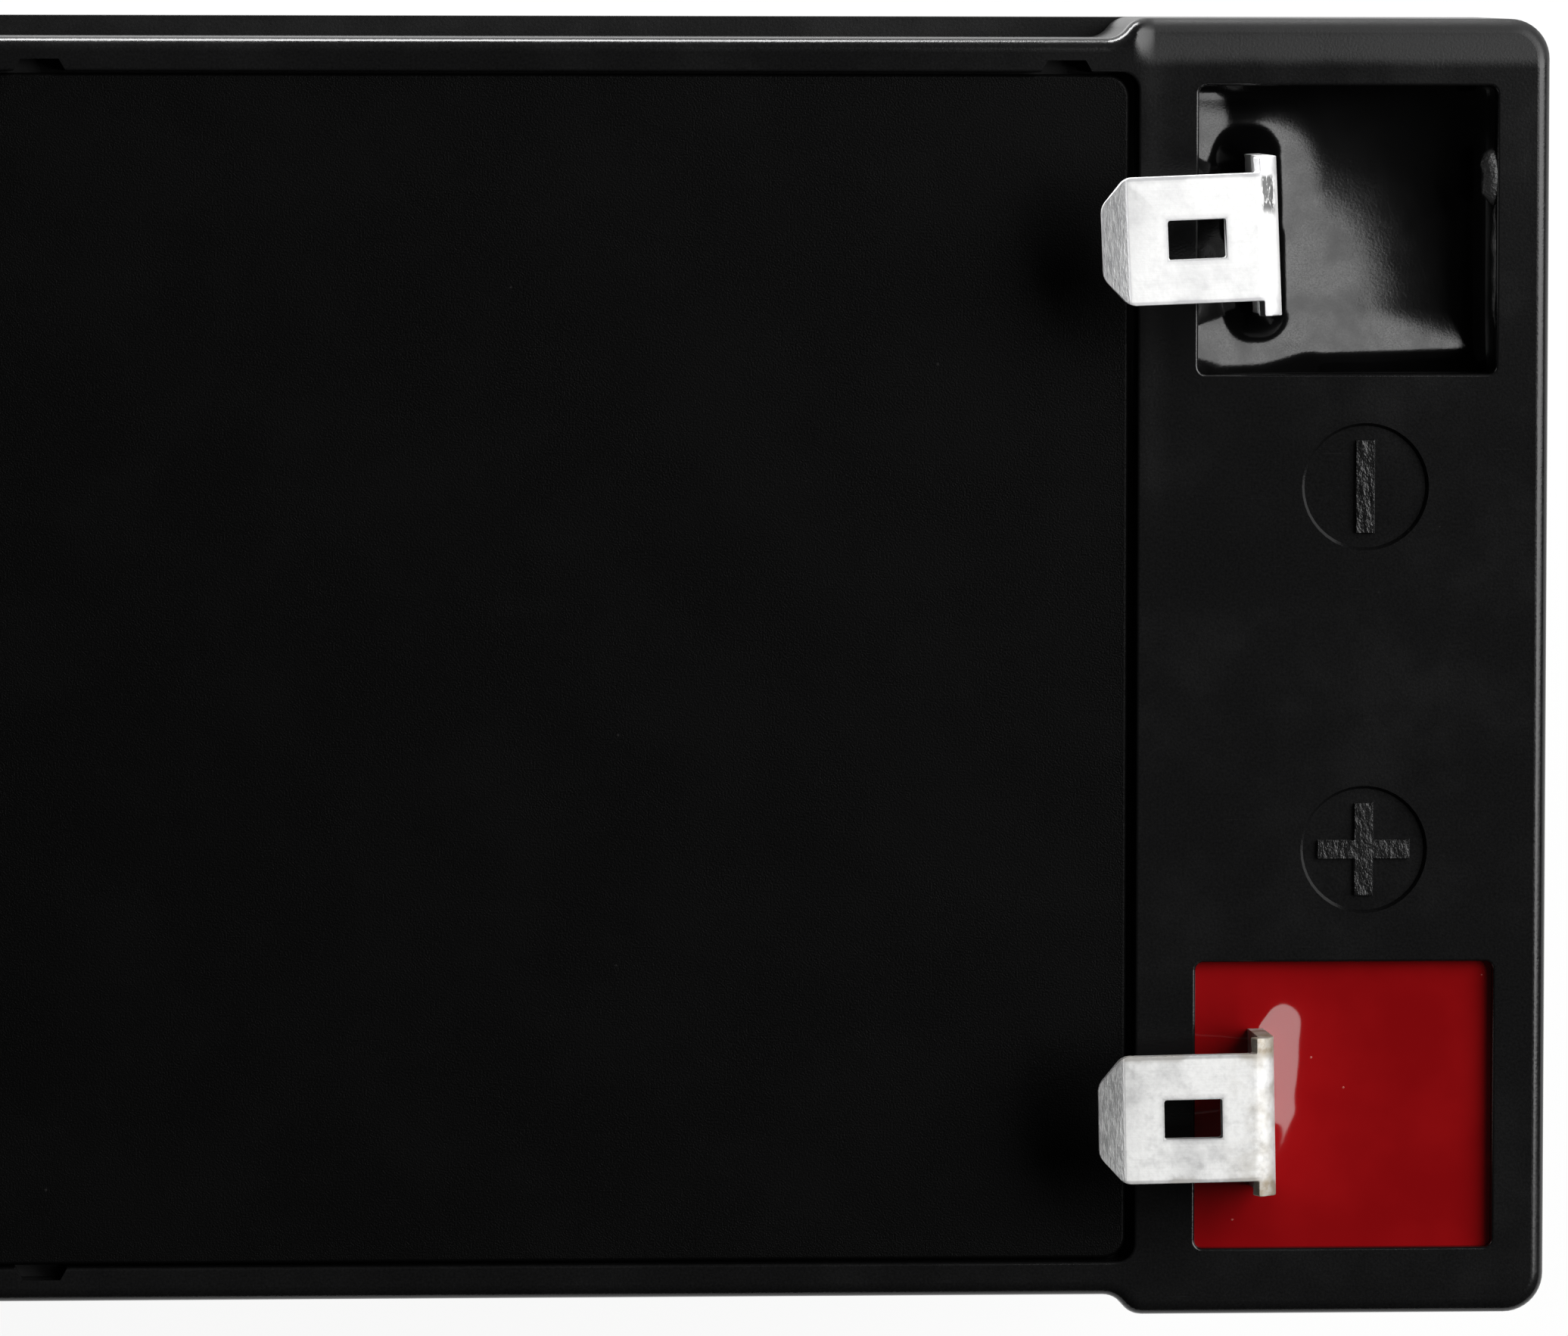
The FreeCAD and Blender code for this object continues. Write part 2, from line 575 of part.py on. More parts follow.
def potting(side, below_lid, turn, buried):
    """Epoxy poured into a terminal pocket: dished, and drawn up round the terminal's leg."""
    y = side * TERMINAL_Y
    level = LID_TOP - below_lid
    corner_rise = (TERMINAL_POCKET_LENGTH ** 2 + TERMINAL_POCKET_WIDTH ** 2) / (8 * POTTING_DISH_RADIUS)
    fill = prism(pocket_outline(POCKET_FLOOR, side), level - POCKET_FLOOR + corner_rise)
    dish = Part.makeSphere(POTTING_DISH_RADIUS, Vector(TERMINAL_X, y, level + POTTING_DISH_RADIUS))
    fill = fill.cut(dish)
    leg_x = -LEG_FROM_POST - STRIP / 2
    wide = rectangle(STRIP + 2 * COLLAR_SPREAD, LEG_WIDTH + 2 * COLLAR_SPREAD,
                     COLLAR_SPREAD, level - COLLAR_ROOT, leg_x)
    slim = rectangle(STRIP + 2 * COLLAR_TIP, LEG_WIDTH + 2 * COLLAR_TIP,
                     COLLAR_TIP, level + COLLAR_RISE, leg_x)
    drawn_up = Part.makeLoft([wide, slim], True, True)
    drawn_up.rotate(Vector(0, 0, 0), Vector(0, 0, 1), turn)
    drawn_up.translate(Vector(TERMINAL_X, y, 0))
    return fuse(fill, [drawn_up]).cut(buried)


def post(side):
    """The lead post cast on an end strap: foot, stem and the spigot that takes the terminal's ring."""
    y = side * TERMINAL_Y
    foot = Part.makeCone(POST_FOOT_RADIUS, POST_RADIUS, POST_FOOT_HEIGHT, Vector(TERMINAL_X, y, STRAP_TOP))
    stem = cylinder(TERMINAL_X, y, STRAP_LEVEL, POCKET_FLOOR, POST_RADIUS)
    spigot = cylinder(TERMINAL_X, y, POCKET_FLOOR, SPIGOT_TOP, SPIGOT_RADIUS)
    return [foot, stem, spigot]


def weld_lug(x, y, direction):
    """An upright lug against a partition, with the half of the weld that fills the partition's hole.

    x, y is the middle of the partition there, and direction points from it into the cell."""
    sideways = direction.cross(Vector(0, 0, 1))
    wall = Vector(x, y, 0)
    foot = wall + direction * (PARTITION / 2 + LINK_CLEARANCE)
    half, top = LINK_WIDTH / 2, LINK_LEVEL + LINK_WIDTH / 2
    low = STRAP_LEVEL
    corners = [(-half, low, 0), (half, low, 0), (half, top, LINK_ROUND), (-half, top, LINK_ROUND)]
    face = Part.Face(outline(corners, lambda p: foot + sideways * p.x + Vector(0, 0, p.y)))
    lug = face.extrude(direction * LINK_THICKNESS)
    reach = PARTITION / 2 + LINK_THICKNESS
    weld = Part.makeCylinder(LINK_HOLE_RADIUS, reach, wall + Vector(0, 0, LINK_LEVEL), direction)
    return [lug, weld]


def level_bar(first, second, width):
    """A bar at the height of the straps, along X or Y between two points in plan."""
    along = (second - first).normalize()
    sideways = Vector(-along.y, along.x, 0) * width / 2
    low = Vector(0, 0, STRAP_LEVEL)
    points = [first + sideways, first - sideways, second - sideways, second + sideways]
    wire = Part.makePolygon([point + low for point in points + points[:1]])
    return prism(wire, STRAP_HEIGHT)


def plate_group(number, positive):
    """The plates of one polarity in a cell, cast onto their strap, with its weld lug or terminal post."""
    row, column, positive_side = CELLS[number - 1]
    x, y = cell_centre(CELLS[number - 1])
    side = positive_side if positive else -positive_side
    count = POSITIVE_PLATES if positive else NEGATIVE_PLATES
    thickness = POSITIVE_THICKNESS if positive else NEGATIVE_THICKNESS
    start = y - STACK / 2 + (NEGATIVE_THICKNESS + MAT if positive else 0)
    low = REST_LEVEL + (MAT if positive else 0)
    strap_x = x + side * STRAP_X
    plates, lugs = [], []
    for k in range(count):
        y0 = start + k * PLATE_PITCH
        middle = y0 + thickness / 2
        plates.append(box(x - PLATE_LENGTH / 2, x + PLATE_LENGTH / 2, y0, y0 + thickness, low, PLATE_TOP))
        lugs.append(box(strap_x - LUG_WIDTH / 2, strap_x + LUG_WIDTH / 2, middle - LUG_THICKNESS / 2,
                        middle + LUG_THICKNESS / 2, PLATE_TOP, STRAP_LEVEL))
    middle = Vector(strap_x, y, 0)
    reach = Vector(0, STACK / 2 - STRAP_END, 0)
    strap = level_bar(middle - reach, middle + reach, STRAP_WIDTH)
    if number == 1 and not positive or number == len(CELLS) and positive:
        extra = post(row)
    elif column == -1 and side == -1:
        inward = Vector(0, row, 0)
        near = Vector(strap_x, 0, 0) + inward * (PARTITION / 2 + LINK_CLEARANCE)
        extra = [level_bar(near, middle, STRAP_WIDTH)] + weld_lug(strap_x, 0, inward)
    else:
        inward = Vector(-side, 0, 0)
        wall = Vector(x + side * CELL_PITCH_X / 2, y, 0)
        near = wall + inward * (PARTITION / 2 + LINK_CLEARANCE)
        extra = [level_bar(near, middle, LINK_WIDTH)] + weld_lug(wall.x, y, inward)
    return fuse(plates[0], plates[1:] + lugs + [strap] + extra)


def mat_pack(number):
    """The glass mats of a cell, one folded under and up both faces of each positive plate."""
    x, y = cell_centre(CELLS[number - 1])
    half = PLATE_LENGTH / 2 + MAT_OVERHANG
    top = PLATE_TOP + MAT_ABOVE_PLATE
    mats = []
    for k in range(POSITIVE_PLATES):
        y0 = y - STACK / 2 + NEGATIVE_THICKNESS + k * PLATE_PITCH
        y1 = y0 + POSITIVE_THICKNESS + 2 * MAT
        folded = box(x - half, x + half, y0, y1, REST_LEVEL, top)
        folded = folded.makeFillet(MAT_FOLD_RADIUS, [e for e in edges_at(folded, REST_LEVEL)
                                                     if e.BoundBox.XLength > half])
        mats.append(folded.cut(box(x - half, x + half, y0 + MAT, y1 - MAT, REST_LEVEL + MAT, top)))
    return Part.Compound(mats)


def export(shape, node):
    """Writes one sub-part to parts/NODE.step."""
    shape.exportStep(os.path.join("parts", node + ".step"))


def main():
    os.makedirs("parts", exist_ok=True)
    export(container(), "container")
    export(lid(), "lid")
    export(vent_cover(), "vent_cover")
    for number, (x, y) in enumerate(vent_places(), 1):
        export(valve_cap(x, y), f"valve_cap_{number}")
    terminals = [
        ("negative", 1, NEGATIVE_TURN, NEGATIVE_POTTING_BELOW_LID),
        ("positive", -1, POSITIVE_TURN, POSITIVE_POTTING_BELOW_LID),
    ]
    for name, side, turn, below_lid in terminals:
        terminal, joint = blade_terminal(side, turn), solder(side)
        export(terminal, f"{name}_terminal")
        export(joint, f"{name}_solder")
        export(post_seal(side), f"{name}_post_seal")
        buried = [terminal, joint] + post(side)
        export(potting(side, below_lid, turn, buried), f"{name}_potting")
    for number in range(1, len(CELLS) + 1):
        export(plate_group(number, False), f"negative_plates_{number}")
        export(plate_group(number, True), f"positive_plates_{number}")
        export(mat_pack(number), f"glass_mats_{number}")


main()
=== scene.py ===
import json
import logging
import math
from dataclasses import dataclass, field
from enum import Enum
from typing import Callable, Mapping, Optional, Sequence, Union

import bmesh
import bpy
from bpy.types import Material, Node, NodeSocket, Object, World
from mathutils import Matrix, Vector


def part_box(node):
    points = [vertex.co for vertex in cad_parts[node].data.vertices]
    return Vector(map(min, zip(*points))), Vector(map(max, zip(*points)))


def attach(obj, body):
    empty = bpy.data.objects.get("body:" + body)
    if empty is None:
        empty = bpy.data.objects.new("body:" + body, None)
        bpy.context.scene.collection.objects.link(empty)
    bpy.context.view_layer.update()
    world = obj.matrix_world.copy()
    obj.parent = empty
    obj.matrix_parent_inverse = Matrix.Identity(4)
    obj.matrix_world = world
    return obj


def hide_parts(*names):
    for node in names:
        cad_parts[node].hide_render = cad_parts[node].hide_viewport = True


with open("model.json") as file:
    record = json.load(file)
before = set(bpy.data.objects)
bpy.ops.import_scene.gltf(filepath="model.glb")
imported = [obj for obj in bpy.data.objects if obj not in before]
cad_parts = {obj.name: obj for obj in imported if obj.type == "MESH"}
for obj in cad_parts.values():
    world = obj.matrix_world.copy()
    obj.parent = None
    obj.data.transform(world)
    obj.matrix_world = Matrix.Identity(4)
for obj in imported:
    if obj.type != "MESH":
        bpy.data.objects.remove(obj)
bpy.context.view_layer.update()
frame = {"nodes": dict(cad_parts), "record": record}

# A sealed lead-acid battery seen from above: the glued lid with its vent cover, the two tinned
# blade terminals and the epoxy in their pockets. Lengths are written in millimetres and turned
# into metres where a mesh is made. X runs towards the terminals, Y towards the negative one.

logging.basicConfig(level=logging.INFO, format="%(message)s")
log = logging.getLogger("battery")

MM = 0.001
# Points this close together are merged, and points this near a place count as lying on it
MERGE = 0.0005
NEAR = 0.01
# Edges whose faces meet at more than this angle, in degrees, are corners
SHARP = 50.0
CELLS = 6
WHITE = (1.0, 1.0, 1.0)

Colour = tuple[float, float, float]
Settings = Mapping[str, object]
Inputs = Mapping[Union[str, int], object]


def millimetres(node: str) -> tuple[Vector, Vector]:
    """The lowest and highest corners of a node of the frame.

    Args:
        node: The node's name.

    Returns:
        Both corners, in millimetres.
    """
    low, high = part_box(node)
    return Vector(low) / MM, Vector(high) / MM


class Element(Enum):
    """What an edit-mode selection is made of."""

    VERTEX = "VERT"
    EDGE = "EDGE"
    FACE = "FACE"


class Fading(Enum):
    """How a proportional move fades with distance."""

    CONCAVE = "SHARP"
    ROUND = "SMOOTH"


class Workpiece:
    """A mesh under work, shaped with the same operators that are used by hand."""

    def __init__(self, name: str) -> None:
        """Takes the object that was just added as the workpiece.

        Args:
            name: The name of the finished piece.
        """
        self.object: Object = bpy.context.active_object
        self.object.name = name
        self.object.data.name = name

    @staticmethod
    def clear_selection() -> None:
        """Leaves edit mode and deselects every object."""
        if bpy.context.object and bpy.context.object.mode != "OBJECT":
            bpy.ops.object.mode_set(mode="OBJECT")
        bpy.ops.object.select_all(action="DESELECT")

    @classmethod
    def start(cls, name: str, centre: Vector, stretch: Vector, add: Callable,
              **settings: object) -> "Workpiece":
        """Starts from one of the basic shapes, stretched and moved to its place.

        Args:
            name: The piece's name.
            centre: Its middle, in millimetres.
            stretch: How much longer it becomes along X, Y and Z.
            add: The operator that adds the basic shape.
            **settings: The operator's options.

        Returns:
            The new workpiece.
        """
        cls.clear_selection()
        add(location=(0, 0, 0), **settings)
        piece = cls(name)
        piece.place(Matrix.Translation(centre * MM) @ Matrix.Diagonal((*stretch, 1.0)))
        return piece

    @classmethod
    def sheet(cls, name: str, centre: Vector, size: tuple[float, float],
              cuts: tuple[int, int]) -> "Workpiece":
        """Starts from a level sheet, sized in millimetres, with a number of faces along X and Y."""
        return cls.start(name, centre, Vector((size[0] * MM, size[1] * MM, 1.0)),
                         bpy.ops.mesh.primitive_grid_add, x_subdivisions=cuts[0], y_subdivisions=cuts[1],
                         size=1.0)

    @classmethod
    def drum(cls, name: str, centre: Vector, radius: float, depth: float, sides: int = 48) -> "Workpiece":
        """Starts from an upright cylinder, sized in millimetres."""
        return cls.start(name, centre, Vector((1.0, 1.0, 1.0)), bpy.ops.mesh.primitive_cylinder_add,
                         vertices=sides, radius=radius * MM, depth=depth * MM)

    def place(self, matrix: Matrix) -> None:
        """Puts a move, turn or stretch into the mesh, so that the object stays at the origin.

        Args:
            matrix: The change, in metres.
        """
        self.clear_selection()
        self.object.data.transform(matrix)
        self.object.data.update()

    def edit(self, element: Element) -> None:
        """Enters edit mode with nothing selected.

        Args:
            element: What is selected next.
        """
        bpy.context.view_layer.objects.active = self.object
        if self.object.mode != "EDIT":
            bpy.ops.object.mode_set(mode="EDIT")
        bpy.ops.mesh.select_mode(type=element.value)
        bpy.ops.mesh.select_all(action="DESELECT")

    def pick(self, element: Element, test: Callable[[Vector], bool], sharp: float = 0.0) -> None:
        """Selects the vertices, edges or faces whose middle passes a test.

        Args:
            element: What to select.
            test: Takes a middle point in millimetres.
            sharp: For edges, the least angle between their faces, in degrees.
        """
        self.edit(element)
        mesh = bmesh.from_edit_mesh(self.object.data)
        if element is Element.VERTEX:
            chosen = [v for v in mesh.verts if test(v.co / MM)]
        elif element is Element.EDGE:
            chosen = [e for e in mesh.edges if test((e.verts[0].co + e.verts[1].co) / 2 / MM)
                      and (sharp <= 0.0 or e.calc_face_angle(0.0) > math.radians(sharp))]
        else:
            chosen = [f for f in mesh.faces if test(f.calc_center_median() / MM)]
        for item in chosen:
            item.select_set(True)
        mesh.select_flush_mode()
        bmesh.update_edit_mesh(self.object.data)

    def everything(self) -> None:
        """Selects the whole mesh in edit mode."""
        self.edit(Element.VERTEX)
        bpy.ops.mesh.select_all(action="SELECT")

    def extrude_edges(self, x: float = 0.0, y: float = 0.0, z: float = 0.0) -> None:
        """Draws the selected edges out by a step in millimetres."""
        bpy.ops.mesh.extrude_edges_move(TRANSFORM_OT_translate={"value": (x * MM, y * MM, z * MM)})

    def extrude_faces(self, x: float = 0.0, y: float = 0.0, z: float = 0.0) -> None:
        """Draws the selected faces out by a step in millimetres."""
        bpy.ops.mesh.extrude_region_move(TRANSFORM_OT_translate={"value": (x * MM, y * MM, z * MM)})

    def shift(self, x: float = 0.0, y: float = 0.0, z: float = 0.0, reach: float = 0.0,
              fading: Fading = Fading.CONCAVE) -> None:
        """Moves the selection, and what lies near it if a reach is given.

        Args:
            x: Step along X in millimetres.
            y: Step along Y in millimetres.
            z: Step along Z in millimetres.
            reach: How far from the selection the move fades out, in millimetres.
            fading: The way it fades.
        """
        options = {}
        if reach > 0.0:
            options = {"use_proportional_edit": True, "proportional_edit_falloff": fading.value,
                       "proportional_size": reach * MM}
        bpy.ops.transform.translate(value=(x * MM, y * MM, z * MM), **options)

    def resize(self, x: float = 1.0, y: float = 1.0, z: float = 1.0,
               about: Optional[Vector] = None) -> None:
        """Scales the selection about a point, in millimetres, or about its own middle."""
        options = {"center_override": tuple(about * MM)} if about is not None else {}
        bpy.ops.transform.resize(value=(x, y, z), **options)

    def spin(self, degrees: float, steps: int, centre: Vector, axis: tuple[float, float, float]) -> None:
        """Sweeps the selected edges round an axis through a point in millimetres, right-handed."""
        bpy.ops.mesh.spin(steps=steps, angle=math.radians(-degrees), center=tuple(centre * MM), axis=axis)

    def round_edges(self, radius: float, segments: int) -> None:
        """Rounds the selected edges by a radius in millimetres."""
        bpy.ops.mesh.bevel(offset_type="OFFSET", offset=radius * MM, segments=segments, affect="EDGES",
                           clamp_overlap=True)

    def face_up(self, test: Callable[[Vector], bool]) -> None:
        """Turns an open sheet over if some of its faces look down.

        Args:
            test: Takes a face's middle in millimetres, and picks the faces that are asked.
        """
        self.clear_selection()
        height = sum(f.normal.z for f in self.object.data.polygons if test(f.center / MM))
        if height < 0.0:
            self.everything()
            bpy.ops.mesh.flip_normals()

    def take_up(self) -> None:
        """Makes this piece the only selected object."""
        self.clear_selection()
        bpy.context.view_layer.objects.active = self.object
        self.object.select_set(True)

    def modify(self, kind: str, **settings: object) -> None:
        """Adds a modifier and applies it.

        Args:
            kind: The modifier's type.
            **settings: Its properties.
        """
        self.take_up()
        modifier = self.object.modifiers.new(kind.title(), kind)
        for key, value in settings.items():
            setattr(modifier, key, value)
        bpy.ops.object.modifier_apply(modifier=modifier.name)

    def cut(self, tool: "Workpiece") -> None:
        """Cuts another workpiece out of this one and throws the tool away."""
        self.modify("BOOLEAN", object=tool.object, operation="DIFFERENCE", solver="EXACT")
        bpy.data.objects.remove(tool.object)

    def join(self, other: "Workpiece") -> None:
        """Joins another workpiece to this one."""
        self.modify("BOOLEAN", object=other.object, operation="UNION", solver="EXACT")
        bpy.data.objects.remove(other.object)

    def tidy(self) -> None:
        """Merges doubled points and turns every face outwards."""
        self.everything()
        bpy.ops.mesh.remove_doubles(threshold=MERGE * MM)
        bpy.ops.mesh.normals_make_consistent(inside=False)

    def smooth(self, degrees: float, keep_flats: bool = False) -> None:
        """Shades the piece smooth, apart from edges sharper than an angle.

        Args:
            degrees: The angle.
            keep_flats: Whether large faces stay flat next to their rounded edges.
        """
        self.take_up()
        bpy.ops.object.shade_smooth_by_angle(angle=math.radians(degrees))
        if keep_flats:
            self.modify("WEIGHTED_NORMAL", keep_sharp=True)

    def finish(self, material: Material, slot: str, replaced: Sequence[str] = ()) -> None:
        """Dresses the piece, fixes it to the battery and reports it.

        Args:
            material: Its finish.
            slot: The record's material slot that the finish belongs to; not used.
            replaced: The nodes that this piece stands for.
        """
        self.clear_selection()
        self.object.data.materials.clear()
        self.object.data.materials.append(material)
        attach(self.object, "root")
        if replaced:
            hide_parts(*replaced)
        log.info("made %s, %d faces", self.object.name, len(self.object.data.polygons))


class Signal:
    """A number that varies over a surface, held as the socket that carries it."""

    def __init__(self, sheet: "NodeSheet", socket: NodeSocket) -> None:
        """Wraps a socket of a node tree."""
        self.sheet = sheet
        self.socket = socket

    def _math(self, operation: str, *values: "Value") -> "Signal":
        """Adds one Math node on the given values."""
        return self.sheet.signal("ShaderNodeMath", {"operation": operation}, dict(enumerate(values)))

    def __add__(self, other: "Value") -> "Signal":
        """Adds two values."""
        return self._math("ADD", self, other)

    __radd__ = __add__

    def __sub__(self, other: "Value") -> "Signal":
        """Takes a value away."""
        return self._math("SUBTRACT", self, other)

    def __rsub__(self, other: "Value") -> "Signal":
        """Takes this from a value."""
        return self._math("SUBTRACT", other, self)

    def __mul__(self, other: "Value") -> "Signal":
        """Multiplies two values."""
        return self._math("MULTIPLY", self, other)

    __rmul__ = __mul__

    def __abs__(self) -> "Signal":
        """The size without its sign."""
        return self._math("ABSOLUTE", self)

    def to_and_fro(self, length: float) -> "Signal":
        """Counts up from 0 to a length and back again, over and over."""
        return self._math("PINGPONG", self, length)

    def at_most(self, other: "Value") -> "Signal":
        """The smaller of two values."""
        return self._math("MINIMUM", self, other)

    def at_least(self, other: "Value") -> "Signal":
        """The larger of two values."""
        return self._math("MAXIMUM", self, other)

    def rise(self, start: float, end: float) -> "Signal":
        """0 at or before start, 1 at or past end, and a soft step between them."""
        return self.sheet.signal("ShaderNodeMapRange", {"interpolation_type": "SMOOTHSTEP"},
                                 {"Value": self, "From Min": start, "From Max": end})

    def fall(self, start: float, end: float) -> "Signal":
        """1 at or before start, 0 at or past end, and a soft step between them."""
        return 1.0 - self.rise(start, end)


Value = Union[float, Signal]


class NodeSheet:
    """A node tree, emptied and filled anew."""

    def __init__(self, owner: Union[Material, World]) -> None:
        """Empties the node tree.

        Args:
            owner: The material or world that it belongs to.
        """
        owner.use_nodes = True
        self.tree = owner.node_tree
        self.tree.nodes.clear()

    def node(self, kind: str, settings: Optional[Settings] = None, inputs: Optional[Inputs] = None) -> Node:
        """Adds one node.

        Args:
            kind: The node's type.
            settings: Its properties, set first.
            inputs: Values, sockets or signals for its sockets, by name or number.

        Returns:
            The new node.
        """
        made = self.tree.nodes.new(kind)
        for key, value in (settings or {}).items():
            setattr(made, key, value)
        for key, value in (inputs or {}).items():
            socket = made.inputs[key]
            if isinstance(value, Signal):
                value = value.socket
            if isinstance(value, NodeSocket):
                self.tree.links.new(value, socket)
            elif isinstance(value, tuple) and len(value) == 3 and socket.type == "RGBA":
                socket.default_value = (*value, 1.0)
            else:
                socket.default_value = value
        return made

    def signal(self, kind: str, settings: Optional[Settings] = None, inputs: Optional[Inputs] = None,
               output: Union[str, int] = 0) -> Signal:
        """Adds one node and returns one of its outputs as a signal."""
        return Signal(self, self.node(kind, settings, inputs).outputs[output])


class FinishSheet(NodeSheet):
    """The node tree of one finish, with its pattern measured in millimetres on the object."""

    def __init__(self, name: str) -> None:
        """Starts an empty material.

        Args:
            name: The material's name.
        """
        self.material = bpy.data.materials.new(name)
        super().__init__(self.material)
        where = self.node("ShaderNodeTexCoord")
        inputs = {"Vector": where.outputs["Object"], "Scale": 1.0 / MM}
        self.place = self.node("ShaderNodeVectorMath", {"operation": "SCALE"}, inputs).outputs["Vector"]

    def axes(self, place: Optional[NodeSocket] = None) -> tuple[Signal, Signal, Signal]:
        """The X, Y and Z of a point, in millimetres."""
        parts = self.node("ShaderNodeSeparateXYZ", inputs={"Vector": place or self.place})
        return tuple(Signal(self, part) for part in parts.outputs)

    def stretched(self, x: float = 1.0, y: float = 1.0, z: float = 1.0, turn: float = 0.0,
                  place: Optional[NodeSocket] = None) -> NodeSocket:
        """A place scaled along the axes and then turned about Z by degrees."""
        inputs = {"Vector": place or self.place, "Scale": (x, y, z),
                  "Rotation": (0.0, 0.0, math.radians(turn))}
        return self.node("ShaderNodeMapping", inputs=inputs).outputs["Vector"]

    def grain(self, size: float, detail: float = 3.0, roughness: float = 0.5,
              place: Optional[NodeSocket] = None) -> Signal:
        """Cloudy noise from 0 to 1 whose blots are about a size in millimetres."""
        inputs = {"Vector": place or self.place, "Scale": 1.0 / size, "Detail": detail,
                  "Roughness": roughness}
        return self.signal("ShaderNodeTexNoise", inputs=inputs)

    def specks(self, spacing: float, radius: float) -> Signal:
        """Scattered round dots: 1 in a dot and 0 outside it, sizes in millimetres."""
        inputs = {"Vector": self.place, "Scale": 1.0 / spacing, "Randomness": 1.0}
        return self.signal("ShaderNodeTexVoronoi", {"feature": "F1"}, inputs, "Distance").fall(
            0.5 * radius / spacing, radius / spacing)

    def mix(self, amount: Value, first: object, second: object) -> NodeSocket:
        """A colour between two colours or colour sockets, the first at 0 and the second at 1."""
        inputs = {"Factor": amount, 6: first, 7: second}
        return self.node("ShaderNodeMix", {"data_type": "RGBA"}, inputs).outputs[2]

    def relief(self, height: Signal) -> NodeSocket:
        """A normal from a height in millimetres."""
        bump = self.node("ShaderNodeBump", inputs={"Height": height, "Distance": MM, "Strength": 1.0})
        return bump.outputs["Normal"]

    def surface(self, colour: object, roughness: Value, normal: NodeSocket,
                **constants: object) -> Material:
        """Ends the finish in one shader.

        Args:
            colour: A colour or a colour socket.
            roughness: A number or a signal.
            normal: The socket of the surface's relief.
            **constants: Other sockets of the shader, with underscores for spaces.

        Returns:
            The finished material.
        """
        inputs = {"Base Color": colour, "Roughness": roughness, "Normal": normal}
        inputs.update({key.replace("_", " "): value for key, value in constants.items()})
        shader = self.node("ShaderNodeBsdfPrincipled", inputs=inputs)
        self.node("ShaderNodeOutputMaterial", inputs={"Surface": shader.outputs[0]})
        return self.material


def shaded(colour: Colour, factor: float) -> Colour:
    """A colour made lighter or darker by a factor."""
    return tuple(part * factor for part in colour)


@dataclass(frozen=True)
class MouldedAbs:
    """Satin black moulding with a fine spark-eroded grain, faint rub marks and dust.

    Sizes are in millimetres. Roughness, rub and dust are shares from 0 to 1.
    """

    name: str
    colour: Colour = (0.0040, 0.0040, 0.0041)
    roughness: float = 0.17
    grain_size: float = 0.13
    grain_height: float = 0.006
    dust: float = 0.35
    rub: float = 0.06
    sheen: float = 0.34
    dust_colour: Colour = (0.30, 0.29, 0.28)
    dust_spacing: float = 2.6
    dust_radius: float = 0.085
    cloud_height: float = 0.004

    def start(self) -> tuple[FinishSheet, object, Signal, Signal]:
        """The common layers of every black moulding.

        Returns:
            The sheet, the colour, the roughness and the height of the grain.
        """
        sheet = FinishSheet(self.name)
        cloud = sheet.grain(7.0, 5.0, 0.62)
        fine = sheet.grain(self.grain_size, 2.0, 0.6)
        scratches = sheet.grain(1.0, 2.0, 0.5, sheet.stretched(0.25, 9.0, 2.0, 24.0)).rise(0.70, 0.78)
        rough = self.roughness + self.rub * cloud.rise(0.42, 0.66) + 0.08 * scratches + 0.05 * (fine - 0.5)
        dust = sheet.specks(self.dust_spacing, self.dust_radius)
        dust = dust * sheet.grain(14.0, 2.0).rise(0.52, 0.62) * self.dust
        speckle = (0.5 * cloud + 1.3 * (fine - 0.25)).at_least(0.0).at_most(1.0)
        tint = sheet.mix(speckle, shaded(self.colour, 0.5), shaded(self.colour, 1.8))
        colour = sheet.mix(dust, tint, self.dust_colour)
        height = fine * self.grain_height + cloud * self.cloud_height
        return sheet, colour, rough, height

    def build(self) -> Material:
        """The finished material."""
        sheet, colour, rough, height = self.start()
        return sheet.surface(colour, rough, sheet.relief(height), Specular_IOR_Level=self.sheen)


